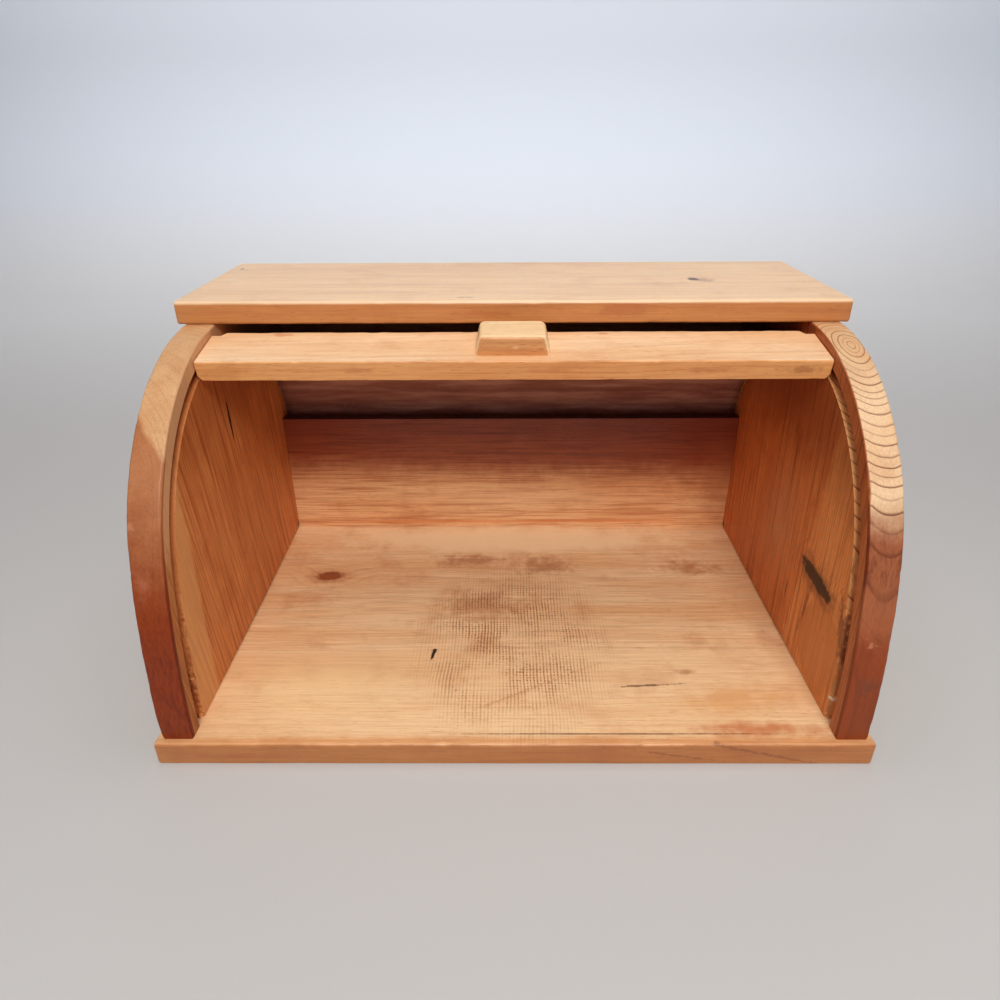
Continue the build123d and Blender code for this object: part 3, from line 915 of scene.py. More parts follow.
    def _zoned(self, graph: NodeGraph, place: Socket, colour: Socket) -> Socket:
        """The wood's colour, with the tone of each zone."""
        for zone in self.zones:
            offset = graph.vector("SUBTRACT", place, zone.place)
            beyond = graph.vector("DOT_PRODUCT", offset, zone.facing)
            edge = graph.noise(place, 14.0, 3.0, 0.6, self.seed + 7.0)
            edge = graph.math("ADD", beyond, graph.swing(edge, 4.0 * zone.waver))
            share = graph.step(edge, -zone.width, zone.width, 0.0, zone.strength)
            if zone.cover is not Cover.EVERYWHERE:
                share = graph.times(share, self._covered(graph, place, zone.cover))
            colour = graph.mix(share, colour, zone.colour, "MIX" if zone.painted else "MULTIPLY")
        return colour

    def build(self) -> Material:
        """Make the material, with grain, fibres, blotches, zones and marks."""
        graph = NodeGraph(self.name)
        place = graph.coordinates()
        log_place = self._log(graph, place)
        late = self._late_wood(graph, place, log_place)
        tone = AMBER_LAYER.share(graph, log_place, self.seed)
        tone = graph.fused(tone, 0.7, self.amber_share - 0.35)
        colour = graph.mix(tone, self.pale, self.amber)
        colour = graph.mix(graph.times(late, self.late), colour, self.late_tone)
        lengthwise = Euler([math.radians(angle) for angle in self.log_turn]).to_matrix()
        lengthwise = tuple(lengthwise @ Vector((0.0, 0.0, 1.0)))
        along_grain = graph.step(graph.facing(lengthwise), 0.10, 0.50, 1.0, 0.10)
        for layer, strength in ((STREAK_LAYER, self.streaks), (LINE_LAYER, self.lines)):
            share = layer.share(graph, log_place, self.seed, 0.0, strength)
            colour = graph.mix(graph.times(share, along_grain), colour, self.late_tone)
        blotch = BLOTCH_LAYER.share(graph, place, self.seed, 0.0, self.blotch)
        colour = graph.mix(blotch, colour, self.blotch_tone)
        fibre = graph.noise(log_place, (0.9, 0.9, 22.0), 2.0, 0.5, self.seed + 5.0)
        colour = graph.shaded(colour, graph.fused(graph.minus(fibre, 0.5), 2 * self.fibre, 1.0))
        pores = PORE_LAYER.share(graph, log_place, self.seed, 0.0, 0.6)
        pores = graph.times(pores, along_grain)
        colour = graph.mix(pores, colour, self.blotch_tone)
        colour = self._zoned(graph, place, colour)
        height = graph.minus(graph.fused(late, 0.5, graph.times(fibre, 0.55)), pores)
        if self.weave:
            weave = self._weave_print(graph, place)
            colour = graph.mix(graph.times(weave, 0.88), colour, PRINT)
            height = graph.fused(weave, -0.8, height)
        for mark in self.marks:
            share = self._ragged(graph, place, mark)
            colour = graph.mix(share, colour, mark.colour)
            if mark.sunk:
                height = graph.fused(share, -mark.sunk, height)
        worn = graph.noise(place, 22.0, 3.0, 0.6, self.seed + 9.0)
        gloss = graph.fused(worn, 0.26, self.gloss - 0.13)
        gloss = graph.fused(fibre, 0.08, gloss)
        graph.shader.inputs["Specular IOR Level"].default_value = self.mirror
        return graph.finish(colour, gloss, height, 0.00016, self.coat)


@dataclass(frozen=True)
class CanvasFinish:
    """Old dark canvas, glued to the slats, with a plain weave and faint scratches."""

    name: str = "old_canvas"
    thread: float = 0.9
    band: float = SIZES.slat_pitch
    colour: Triple = (146, 90, 74)
    worn_colour: Triple = (186, 136, 120)
    band_colour: Triple = (104, 60, 50)
    scratch_colour: Triple = (205, 180, 168)
    scratch_turn: float = 31.0

    def build(self) -> Material:
        """Make the material from the piece's own UV map.

        Two sines whose product changes sign from thread to thread make the plain
        weave; slow noise and a soft band at each slat's edge change the tone.

        Returns:
            The canvas material.
        """
        graph = NodeGraph(self.name)
        uv = graph.coordinates("UV")
        across, along = graph.part(uv, 0), graph.part(uv, 1)
        waves = [
            graph.math("SINE", graph.times(way, math.pi / self.thread)) for way in (across, along)
        ]
        weave = graph.fused(graph.times(*waves), 0.5, 0.5)
        tone = graph.noise(uv, (60.0, 9.0, 9.0), 4.0, 0.6, 2.0)
        colour = graph.mix(graph.step(tone, 0.36, 0.70), self.colour, self.worn_colour)
        band = graph.math("SINE", graph.times(along, 2 * math.pi / self.band))
        colour = graph.mix(graph.step(band, 0.55, 1.0, 0.0, 0.35), colour, self.band_colour)
        colour = graph.shaded(colour, graph.fused(weave, 0.30, 0.85))
        turned = graph.centred(uv, (0, 0, 0), (0, 0, self.scratch_turn), (1, 1, 1))
        scratch = graph.noise(turned, (0.7, 26.0, 1.0), 2.0, 0.5, 4.0)
        share = graph.step(scratch, 0.70, 0.78, 0.0, 0.4)
        colour = graph.mix(share, colour, self.scratch_colour)
        return graph.finish(colour, graph.fused(tone, 0.2, 0.55), weave, 0.00022)


@dataclass(frozen=True)
class SteelFinish:
    """Dull steel of screws and nails, with a brown tarnish in its hollows."""

    name: str
    steel: Triple = (150, 144, 136)
    tarnish: Triple = (92, 58, 40)
    metallic: float = 0.75

    def build(self) -> Material:
        """Make the material."""
        graph = NodeGraph(self.name)
        place = graph.coordinates()
        share = graph.step(graph.noise(place, 1.4, 4.0, 0.65, 1.0), 0.44, 0.62)
        colour = graph.mix(share, self.steel, self.tarnish)
        brushed = graph.noise(place, (0.15, 2.0, 2.0), 2.0, 0.5, 2.0)
        graph.shader.inputs["Metallic"].default_value = self.metallic
        return graph.finish(colour, graph.fused(share, 0.35, 0.34), brushed, 0.00004)


@dataclass(frozen=True)
class WaxFinish:
    """Hard wax of the wood's colour over sunk nail heads, with a few darker grains."""

    name: str = "filled_nail_heads"
    wax: Triple = (238, 196, 150)
    grain: Triple = (196, 138, 94)

    def build(self) -> Material:
        """Make the material."""
        graph = NodeGraph(self.name)
        specks = graph.noise(graph.coordinates(), (1.6, 0.5, 0.5), 3.0, 0.6, 3.0)
        colour = graph.mix(graph.step(specks, 0.45, 0.75), self.wax, self.grain)
        return graph.finish(colour, graph.fused(specks, 0.2, 0.4), specks, 0.00005)


@dataclass(frozen=True)
class PaperFinish:
    """Pale matt paper: warm grey under the box, cooler where it rises behind."""

    name: str = "stage_paper"
    floor: Triple = (194, 188, 181)
    wall: Triple = (202, 206, 214)
    roughness: float = 0.85

    def build(self) -> Material:
        """Make the material, whose tone goes over with height."""
        graph = NodeGraph(self.name)
        place = graph.coordinates()
        tooth = graph.noise(place, 0.8)
        risen = graph.step(graph.part(place, 2), -200.0, 300.0)
        colour = graph.mix(risen, self.floor, self.wall)
        return graph.finish(colour, self.roughness, tooth, 0.00005)


def dress(piece: Piece, material: Material) -> None:
    """Give a piece one material."""
    piece.data.materials.clear()
    piece.data.materials.append(material)


def dress_node(name: str, material: Material) -> None:
    """Give a CAD node one material in every slot it has."""
    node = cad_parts[name]
    if not node.material_slots:
        node.data.materials.append(material)
    for place in node.material_slots:
        place.material = material
    log.info("node %s wears %s", name, material.name)


def mount(piece: Piece, material: Material, body: Body, node: str) -> None:
    """Dress a finished piece, and let it ride on its body and stand for its CAD node.

    Args:
        piece: finished piece.
        material: what it wears.
        body: body that it rides on.
        node: CAD node that it replaces.
    """
    dress(piece, material)
    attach(piece, body.value)
    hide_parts(node)
    log.info("%s: %d faces on %s", piece.name, len(piece.data.polygons), body.value)


def fastener_points(name: str, head: float = 8.0) -> list[np.ndarray]:
    """Corner points of each separate upright fastener of a CAD node.

    Points that lie within a head's width of each other, seen from above,
    belong to one fastener.

    Args:
        name: CAD node with several like fasteners.
        head: width in which all of one fastener lies.

    Returns:
        One array of points in drawing millimetres for each fastener.
    """
    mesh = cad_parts[name].data
    points = np.zeros(len(mesh.vertices) * 3)
    mesh.vertices.foreach_get("co", points)
    left = points.reshape(-1, 3) / MM + np.array([0.0, SIZES.depth / 2, 0.0])
    fasteners: list[np.ndarray] = []
    while len(left):
        same = np.abs(left[:, :2] - left[0, :2]).max(1) < head
        fasteners.append(left[same])
        left = left[~same]
    return fasteners


def head_clearance(node: str, play: float, face: float, depth: float, around: int = 24) -> Piece:
    """Tools that clear a ring of play round the heads of a node's upright fasteners.

    Args:
        node: CAD node of the fasteners.
        play: clearance round each head.
        face: height of the board's face that the heads lie in.
        depth: how far into the board the clearance goes, negative for down.
        around: corners of each tool.

    Returns:
        One object with a short cylinder at each head.
    """
    turns = np.linspace(0, 2 * np.pi, around, endpoint=False)
    levels = sorted((face - math.copysign(1.0, depth), face + depth))
    points, faces = [], []
    for number, fastener in enumerate(fastener_points(node)):
        centre = (fastener.min(0) + fastener.max(0)) / 2
        radius = (fastener[:, 0].max() - fastener[:, 0].min()) / 2 + play
        ring = centre[:2] + radius * np.stack([np.cos(turns), np.sin(turns)], -1)
        points += [np.column_stack([ring, np.full(around, z)]) for z in levels]
        faces += tube_faces(2, around, number * 2 * around)
    return new_piece(node + "_clearance", np.vstack(points), faces)


@dataclass
class BaseBoard:
    """The board that everything stands on, glued up from two staves."""

    arris: float = 1.8
    joint: float = -60.3

    def finish(self) -> PineFinish:
        """Pale pine with a mat's print, a knot, stains and a dark pin mark, with painted shade on
        its front face and painted light on the back of its upper face.
        """
        top = SIZES.base_thickness
        return PineFinish(
            "base_wood", pith=(0, 20, -62), log_turn=(1.6, 90, 1.2), ring=3.4, late=0.22, wander=7,
            pale=(248, 208, 160), amber=(234, 176, 120), amber_share=0.3, fibre=0.24, streaks=0.15,
            lines=0.19, blotch=0.42, blotch_tone=(196, 124, 76), joints=(self.joint,), seed=2,
            weave=((0, -48, top), (84, 118, 40)),
            weave_spots=(
                ((-28, 2, top), (26, 16, 20)),
                ((-18, -58, top), (24, 7, 20)),
                ((-44, -92, top), (7, 9, 20)),
            ),
            zones=(
                Zone(
                    (0, self.joint, top), (0, -1, 0), 0.5, (247, 208, 158), 0.34, 0.3,
                    painted=True,
                ),
                Zone((0, back(6), top), (0, -1, 0), 3, (232, 196, 166), 0.8, 1.5),
                # painted shade: the front face is darkened, as it gets less light than the top
                Zone((0, back(0.7), 0), (0, -1, 0), 0.5, (213, 188, 155), 1, 0.1),
            ),
            marks=(
                Mark(
                    (-147.5, 32.8, top), (12.5, 7.4, 9), (78, 27, 13), 0.97, 0.4, 0.16,
                    turn=(0, 0, 6), sunk=0.6, bends_grain=8,
                ),
                Mark((-147.5, 32.8, top), (26, 13, 9), (176, 92, 48), 0.7, 0.9, 0.2),
                Mark(
                    (-55, -64, top), (1.3, 6.4, 3), SOOT, 0.97, 0.3, 0.25, 2, turn=(0, 0, -8),
                    sunk=1.5,
                ),
                Mark((-54.2, -60, top), (2, 2.6, 3), SOOT, 0.9, 0.4, 0.2, 1.5),
                Mark(
                    (88, -95, top), (24, 1.3, 5), (96, 52, 30), 0.75, 0.5, 0.6, 7, turn=(0, 0, 4),
                ),
                Mark((150, -133, top), (60, 9, 8), (196, 104, 52), 0.75, 1, 0.35, 9),
                Mark((138, -110, top), (50, 24, 8), (222, 158, 92), 0.5, 1, 0.4, 12),
                Mark((-120, -98, top), (72, 34, 8), (252, 216, 158), 0.5, 1, 0.3, 20),
                Mark((-165, -146, 6), (64, 6, 4), (176, 98, 56), 0.6, 1, 0.3, 10),
                Mark((30, -146, 9), (60, 6, 2.4), (176, 98, 56), 0.55, 1, 0.4, 8),
                Mark(
                    (150, -146, 8), (50, 6, 1.2), (136, 74, 42), 0.55, 0.5, 0.9, 4,
                    turn=(0, 14, 0),
                ),
                Mark(
                    (96, -146, 7), (30, 6, 1.1), (136, 74, 42), 0.5, 0.5, 0.9, 4, turn=(0, 10, 0),
                ),
                Mark((-SIZES.side_inner, -2, top), (1.8, 138, 3), (120, 60, 34), 0.6, 1, 0.15, 9),
                Mark((SIZES.side_inner, -2, top), (1.8, 138, 3), (120, 60, 34), 0.6, 1, 0.15, 9),
                Mark((60, -137, top), (118, 0.8, 4), (92, 50, 30), 0.7, 0.5, 0.3, 6),
                Mark((20, 34, top), (110, 40, 10), (196, 124, 76), 0.14, 0.9, 0.45, 22),
                Mark((-34, 56, top), (40, 13, 8), (160, 84, 44), 0.6, 1, 0.5, 7),
                Mark((26, 48, top), (36, 20, 8), (156, 82, 44), 0.6, 1, 0.5, 7),
                Mark((-20, -8, top), (44, 26, 8), (168, 92, 48), 0.5, 1, 0.5, 7),
                Mark((146, 44, top), (32, 14, 8), (168, 88, 44), 0.6, 1, 0.5, 7),
                # painted light: a pale band on the back of the floor inside the box, where light
                # reaches it
                Mark((0, 90, top), (200, 28, 10), (255, 222, 176), 0.85, 0.6, 0.25, 20),
                Mark((116, -82, top), (10, 3.4, 4), (166, 94, 54), 0.55, 0.9, 0.35, 4),
                Mark(
                    (12, -98, top), (44, 1.2, 3), (190, 122, 78), 0.4, 0.5, 1.3, 2.5,
                    turn=(0, 0, 28),
                ),
            ),
        )

    def build(self) -> None:
        """Make the board, with countersunk holes for its screws, and dress it."""
        board = WornBar(
            "pine_base_board", SectionFrame(), (0.0, SIZES.depth), (0.0, SIZES.base_thickness),
            SIZES.base_width / 2, (0.5, 0.5, self.arris, self.arris), end_arris=2.8, wear=0.30,
            knocks=16, seed=3,
        ).build()
        cut(board, head_clearance("base_screws", 0.25, 0.0, 2.2))
        soften(board)
        mount(board, self.finish().build(), Body.CASE, "base_board")


@dataclass
class SideBoard:
    """One shaped side with its groove."""

    side: Side
    arris: float = 1.4
    back_arris: float = 0.4
    curve_points: int = 80
    groove_points: int = 150
    sanding: float = 0.12
    wear: float = 0.3
    knocks: int = 14
    knock_wear: float = 0.9
    least_arris: float = 0.3
    most_arris: float = 3.2
    lip_rise: float = 2.6
    lip_run: float = 1.0
    lip_wear: float = 0.12
    chips: float = 0.10
    foot_chips: float = 1.5
    whole_points: int = 20
    overrun: float = 2.0

    @property
    def chipped_length(self) -> float:
        """Length over which the chips in the groove's lip get smaller above the foot."""
        return 45.0 if self.side is Side.LEFT else 30.0

    @property
    def word(self) -> str:
        """The side's word in the names of its node and piece."""
        return f"{self.side.name.lower()}_side"

    def outline(self) -> tuple[np.ndarray, np.ndarray]:
        """Outline of the side, and where on it the worn front curve is.

        The front curve is two arcs; straight runs along the top, the back and
        the foot close it.

        Returns:
            Points (y, z) round the outline, and 1 on the front curve, 0 elsewhere.
        """
        rear, low = SIZES.side_back, SIZES.base_thickness
        curve = SIZES.front_curve(0.0, low, 90.0, self.curve_points)
        corners = np.array([[rear, SIZES.side_top], [rear, low]])
        runs = [curve]
        for start, end, shares in (
            (curve[-1], corners[0], np.linspace(0, 1, 14)[1:-1]),
            (corners[0], corners[1], np.linspace(0, 1, 14)),
            (corners[1], curve[0], np.linspace(0, 1, 20)[1:-1]),
        ):
            runs.append(start + (end - start) * shares[:, None])
        points = np.vstack(runs)
        worn = np.zeros(len(points))
        worn[: len(curve)] = 1.0
        return points, worn

    def body(self) -> Piece:
        """The side without its groove.

        The outline is carried through the thickness. At each end it draws in by
        a(1 - sin t) along the outline's mitred normal while X moves by
        a(1 - cos t), where a is the arris at that place of the outline; the
        front curve wavers inwards by a few tenths as hand sanding leaves it.

        Returns:
            The closed board.
        """
        points, worn = self.outline()
        edge = np.roll(points, -1, 0) - points
        edge = edge / np.linalg.norm(edge, axis=1)[:, None]
        normal = np.stack([-edge[:, 1], edge[:, 0]], -1)
        before = np.roll(normal, 1, 0)
        mitre = (normal + before) / (1 + (normal * before).sum(1))[:, None]
        length = lengths(points)
        seed = 20 + self.side.value
        hollow = worn * (self.sanding + self.sanding * waver(length, seed, 60.0))

        def ring(x: np.ndarray | float, inset: np.ndarray) -> np.ndarray:
            """The outline at a place through the thickness, drawn in by an inset."""
            across = np.broadcast_to(x, len(points))
            return np.column_stack([across, points - mitre * inset[:, None]])

        fans = []
        for end, start in enumerate((0.0, SIZES.side_thickness)):
            knocks = nicks(length, seed + 5 + end, self.knocks, 2.0)
            rough = 1 + self.wear * waver(length, seed + 2 + end, 70.0) + self.knock_wear * knocks
            radius = self.back_arris + worn * (self.arris * rough - self.back_arris)
            radius = np.clip(radius, self.least_arris, self.most_arris)
            into = -1 if end else 1
            fan = [
                ring(start + into * radius * (1 - np.cos(t)), radius * (1 - np.sin(t)) + hollow)
                for t in np.linspace(0.0, QUARTER, 6)
            ]
            fans.append(fan[::-1] if end else fan)
        middle = [ring(share * SIZES.side_thickness, hollow) for share in (0.3, 0.5, 0.7)]
        stack = np.array(fans[0] + middle + fans[1])
        stack[..., 0] = self.side.value * (SIZES.side_inner + stack[..., 0])
        return loft("pine_" + self.word, stack)

    def groove_tool(self) -> Piece:
        """Shape of the groove, whose inner lip is chipped near the foot.

        A section of six corners is carried along the front curve; the two
        corners at the lip move inwards by a ragged wave that grows to the foot.

        Returns:
            The tool.
        """
        below = SIZES.base_thickness - SIZES.slat_thickness / 2
        end = -math.degrees(math.asin(SIZES.centre_rise / SIZES.groove_outer)) - self.overrun
        outer, inner = (
            SIZES.front_curve(SIZES.shoulder_radius - radius, below, end, self.groove_points)
            for radius in (SIZES.groove_outer, SIZES.groove_inner)
        )
        inward = inner - outer
        inward = inward / np.linalg.norm(inward, axis=1)[:, None]
        length = lengths(inner)
        foot = np.exp(-length / self.chipped_length)
        random = np.random.default_rng(41 + self.side.value)
        ragged = np.abs(random.normal(0.0, 1.0, len(length)))
        ragged = np.convolve(ragged, [0.25, 0.5, 0.25], "same")
        chip = self.lip_wear + self.chips * ragged + self.foot_chips * foot * ragged
        chip[-self.whole_points:] = 0.0
        lip = inner + inward * chip[:, None]
        face = SIZES.side_inner
        near, deep = face - SIZES.groove_depth, face + SIZES.groove_depth
        corners = (
            (near, outer), (deep, outer), (deep, inner),
            (face + self.lip_rise, inner), (face + self.lip_run, lip), (near, lip),
        )
        rings = [np.column_stack([np.full(len(length), x), place]) for x, place in corners]
        stack = np.stack(rings, 1)
        stack[..., 0] *= self.side.value
        return loft(f"pine_{self.word}_groove_tool", stack)

    def left_finish(self) -> PineFinish:
        """Pine whose log leans behind the left side."""
        inner = -SIZES.side_inner
        floor, upward, downward = (0, 0, -50), (0, 0, 1), (0, 0, -1)
        return PineFinish(
            "left_side_wood", pith=(-262, back(40), 80), log_turn=(8, 0, 0), ring=4.4, late=0.28,
            wander=9, pale=(232, 186, 138), amber=(216, 160, 110), late_tone=(164, 96, 58),
            amber_share=0.5, streaks=0.65, lines=0.55, blotch=0.35, blotch_tone=(176, 104, 66),
            seed=11, coat=0.06, mirror=0.28, face_late=0.6, fading=0.8,
            zones=(
                # painted shade: the inner face is made darker and redder, darker still near its
                # top under the top board, and the rim, groove and front edge darker, as shade
                # falls on them
                Zone(floor, upward, 1, (255, 208, 163), 1, 0, Cover.INNER_FACE),
                Zone((inner, 0, 165), upward, 30, (222, 208, 200), 1, 6, Cover.INNER_FACE),
                Zone(floor, upward, 1, (218, 178, 140), 1, 0, Cover.RIM),
                Zone(floor, upward, 1, (228, 184, 148), 1, 0, Cover.GROOVE),
                Zone(floor, upward, 1, (236, 232, 228), 1, 0, Cover.FRONT_EDGE),
                # painted light: the upper part of the rim is lightened as though lit
                Zone((inner, 0, 130), upward, 20, (240, 194, 146), 0.6, 6, Cover.RIM, True),
                Zone(
                    (inner, -93, 80), (0, -1, 0.06), 2.5, (236, 178, 116), 0.52, 2.5,
                    Cover.INNER_FACE, True,
                ),
                Zone(
                    (-203, 0, 189), (-0.71, 0, -0.7), 1.6, (217, 184, 168), 1, 1.2,
                    Cover.FRONT_EDGE,
                ),
                # stain and painted shade: the lower front edge is darker and redder, where it
                # faces down and away from the light
                Zone((-203, 0, 136), downward, 42, (202, 127, 36), 1, 8, Cover.FRONT_EDGE),
            ),
            marks=(
                Mark((inner, 3.6, 163), (4, 2, 17), SOOT, 0.95, 0.35, 0.2, 3, turn=(2, 0, 0)),
                Mark((inner - 3, -127, 45), (4, 5, 28), (124, 66, 36), 0.8, 0.5, 0.6, 2.2),
                Mark((-209.5, -117, 148), (4, 4, 5), (206, 140, 104), 0.45, 1, 0.8, 3),
                Mark((-204, -128, 120), (7, 4, 22), (206, 130, 98), 0.35, 0.9, 0.5, 8),
            ),
        )

    def right_finish(self) -> PineFinish:
        """Pine that has its pith in the right side's shoulder."""
        inner = SIZES.side_inner
        floor, upward, downward = (0, 0, -50), (0, 0, 1), (0, 0, -1)
        return PineFinish(
            "right_side_wood", pith=(204, -27, 223), log_turn=(-3, 0, 0), ring=2.7, late=1,
            wander=1.6, taper=0, pale=(246, 208, 162), amber=(236, 186, 134),
            late_tone=(128, 70, 40), amber_share=0.35, streaks=0.42, lines=0.34, blotch=0.22,
            seed=23, coat=0.06, mirror=0.3, late_low=0.66, late_high=0.93, face_late=0.3,
            fading=0.1, narrowing=0.003, oval=1.8,
            zones=(
                # painted shade: the inner face is made darker and redder, darker still near its
                # top under the top board, and the rim and front edge darker, as shade falls on
                # them
                Zone(floor, upward, 1, (255, 198, 146), 1, 0, Cover.INNER_FACE),
                Zone((inner, 0, 150), upward, 30, (198, 184, 182), 1, 6, Cover.INNER_FACE),
                Zone(floor, upward, 1, (208, 144, 110), 1, 0, Cover.RIM),
                Zone(floor, upward, 1, (240, 240, 246), 1, 0, Cover.FRONT_EDGE),
                Zone((202, 0, 212), upward, 16, (246, 236, 224), 1, 4, Cover.FRONT_EDGE),
                # stain and painted shade: the lower front edge is darker and redder, where it
                # faces down and away from the light
                Zone((202, 0, 152), downward, 12, (166, 98, 63), 0.93, 5, Cover.FRONT_EDGE),
                Zone((202, 0, 112), downward, 16, (180, 106, 66), 0.6, 8, Cover.FRONT_EDGE, True),
                Zone((202, 0, 92), downward, 22, (212, 156, 72), 0.9, 8, Cover.FRONT_EDGE),
                Zone(
                    (inner, -60, 165), (0, 0.99, 0.1), 2, (238, 216, 202), 1, 3, Cover.INNER_FACE,
                ),
                # painted shade: the groove's walls are darker, as shade falls in the recess
                Zone(floor, upward, 1, (246, 218, 186), 1, 0, Cover.GROOVE),
            ),
            marks=(
                Mark(
                    (inner, -96, 48), (6, 30, 36), (204, 120, 58), 0.55, 0.15, 0.12, 14,
                    turn=(10, 0, 0),
                ),
                Mark(
                    (inner, -75, 84), (6, 38, 15), (140, 74, 40), 0.7, 0.7, 0.3, 8, turn=(2, 0, 0),
                ),
                Mark(
                    (inner, -73.5, 84.7), (5, 28, 6.2), (54, 25, 14), 0.97, 0.3, 0.2, 4,
                    turn=(2, 0, 0), sunk=0.5, bends_grain=5,
                ),
                # painted light: a soft pale patch on the middle of the inner face
                Mark((inner, -4, 92), (6, 46, 60), (214, 164, 122), 0.3, 1, 0.2, 16),
                Mark(
                    (inner, -68, 60), (4, 2.4, 34), (112, 58, 36), 0.6, 0.8, 0.5, 6,
                    turn=(9, 0, 0),
                ),
                Mark((inner, -36, 51), (4, 1, 8), (72, 40, 26), 0.75, 0.5, 0.3, 3),
                Mark(
                    (inner + 2, -116, 78), (7, 5, 26), (112, 56, 34), 0.65, 0.5, 0.6, 4,
                    turn=(-20, 0, 0),
                ),
                Mark((194, -126, 31), (4, 4, 3.4), (252, 232, 206), 0.95, 0.3, 0.5, 2.5),
                Mark((203, -141, 55), (9, 6, 9), (112, 58, 38), 0.55, 0.8, 0.6, 5),
                Mark((201, -140, 84), (5, 6, 6), (214, 140, 104), 0.55, 0.6, 0.6, 4),
            ),
        )

    def build(self) -> None:
        """Make the side, cut its groove and dress it."""
        board = self.body()
        cut(board, self.groove_tool())
        soften(board)
        finish = self.left_finish() if self.side is Side.LEFT else self.right_finish()
        mount(board, finish.build(), Body.CASE, self.word)


@dataclass
class TopBoard:
    """Flat board on the sides' tops."""

    arris: float = 2.2

    def finish(self) -> PineFinish:
        """Pale pine whose front face is darker and more orange as painted shade, with a knot,
        small marks and a pale line along its front arris that is both wear and painted highlight.
        """
        top, front = SIZES.top, back(SIZES.top_front)
        return PineFinish(
            "top_wood", pith=(0, 75, 168), log_turn=(-1, 90, -1.2), ring=3.8, late=0.17, wander=8,
            pale=(248, 208, 162), amber=(236, 188, 142), amber_share=0.3, fibre=0.13, lines=0.08,
            streaks=0.1, blotch=0.22, blotch_tone=(204, 140, 96), seed=31,
            zones=(
                # painted shade: the front face is darker and more orange than the lit top
                Zone((0, front + 1, 0), (0, -1, 0), 0.6, (207, 162, 117), 1, 0.1),
            ),
            marks=(
                Mark(
                    (129.7, 72.6, top), (5, 6, 4), DARK_KNOT, 0.95, 0.4, 0.25, sunk=0.5,
                    bends_grain=4,
                ),
                Mark((135.7, 68.6, top), (9, 9, 5), (168, 128, 104), 0.6, 0.7, 0.4, 5),
                Mark((-31, 17, top), (8, 1.6, 4), (168, 104, 66), 0.6, 0.5, 0.5),
                Mark((-207, 118, top), (2, 3, 3), SOOT, 0.8, 0.5, 0.2, 1.5),
                Mark((70, front, 236), (26, 9, 6), (176, 96, 52), 0.55, 0.8, 0.4, 8),
                Mark((-20, front, 234), (30, 6, 3), (186, 104, 56), 0.5, 0.8, 0.5, 7),
                # worn arris and painted highlight: a pale line along the front top arris
                Mark(
                    (0, front + 0.6, top - 0.6), (900, 2.4, 2.2), (255, 222, 182), 0.75, 0.9, 0.06,
                    30,
                ),
            ),
        )

    def build(self) -> None:
        """Make the board, with clearance for its nail heads, and dress it."""
        board = WornBar(
            "pine_top_board", SectionFrame(), (SIZES.top_front, SIZES.side_back),
            (SIZES.side_top, SIZES.top), SIZES.base_width / 2, (1.6, 0.4, 0.8, self.arris),
            end_arris=1.0, wear=0.16, knocks=12, seed=5,
        ).build()
        cut(board, head_clearance("top_nails", 0.03, SIZES.top, -0.8))
        soften(board)
        mount(board, self.finish().build(), Body.CASE, "top_board")


@dataclass
class BackBoards:
    """The inner back board and the thin outer panel behind it."""

    thickness: float = 9.5
    height: float = 105.0
    end_gap: float = 0.05

    @property
    def front(self) -> float:
        """Place of the inner back board's front face along Y."""
        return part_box("inner_back_board")[0][1] / MM + SIZES.depth / 2

    def inner_finish(self) -> PineFinish:
        """Pine, darker and redder in its upper part as the lead slat's painted shadow, with
        painted shade on its top edge and at its low right end, and painted light low across its
        middle.
        """
        face = back(self.front)
        return PineFinish(
            "inner_back_wood", pith=(0, 150, 30), log_turn=(0.6, 90, 0.8), ring=3.4, late=0.34,
            wander=8, pale=(240, 190, 138), amber=(220, 150, 96), amber_share=0.45, streaks=0.5,
            lines=0.5, blotch=0.35, blotch_tone=(180, 104, 62), seed=43, fading=0.75,
            zones=(
                # painted shadow: the upper part is darker and redder, where the lead slat's shadow
                # falls
                Zone((0, face, 70), (0.02, 0, 1), 17, (172, 104, 74), 0.97, 4),
                # painted shade: the top edge face is darkened, where it lies in shade
                Zone(
                    (0, face, SIZES.base_thickness + self.height - 0.4), (0, 0, 1), 0.3,
                    (120, 100, 92), 1, 0,
                ),
                # painted shade: darker again towards the top
                Zone((0, face, 104), (0, 0, 1), 8, (232, 200, 180), 0.8, 3),
            ),
            marks=(
                # painted light: a pale band low across the middle, where light falls
                Mark((10, face, 46), (150, 8, 14), (240, 190, 144), 0.5, 1, 0.2, 20),
                # painted shade: the low right end is darkened
                Mark((184, face, 60), (26, 8, 60), (170, 96, 58), 0.5, 1, 0.25, 16),
                Mark((0, face, 21), (220, 8, 2.2), (216, 122, 62), 0.6, 0.6, 0.2, 16),
                Mark(
                    (14, face, 88), (150, 8, 2.4), (118, 56, 32), 0.5, 0.7, 0.5, 12,
                    turn=(0, 1.9, 0),
                ),
            ),
        )

    def panel_finish(self) -> PineFinish:
        """Plain rotary-cut face of a thin panel."""
        return PineFinish(
            "panel_wood", pith=(0, 400, 150), log_turn=(0.5, 90, 2), ring=6.5, late=0.35,
            wander=22, amber_share=0.45, streaks=0.25, seed=47, gloss=0.55, coat=0.05,
        )

    def build(self) -> None:
        """Make the inner board and dress both."""
        board = WornBar(
            "pine_inner_back_board", SectionFrame(), (self.front, self.front + self.thickness),
            (SIZES.base_thickness, SIZES.base_thickness + self.height),
            SIZES.side_inner - self.end_gap, (0.3, 0.3, 0.5, 0.7), end_arris=0.3, seed=9,
        ).build()
        soften(board)
        mount(board, self.inner_finish().build(), Body.CASE, "inner_back_board")
        dress_node("outer_back_panel", self.panel_finish().build())


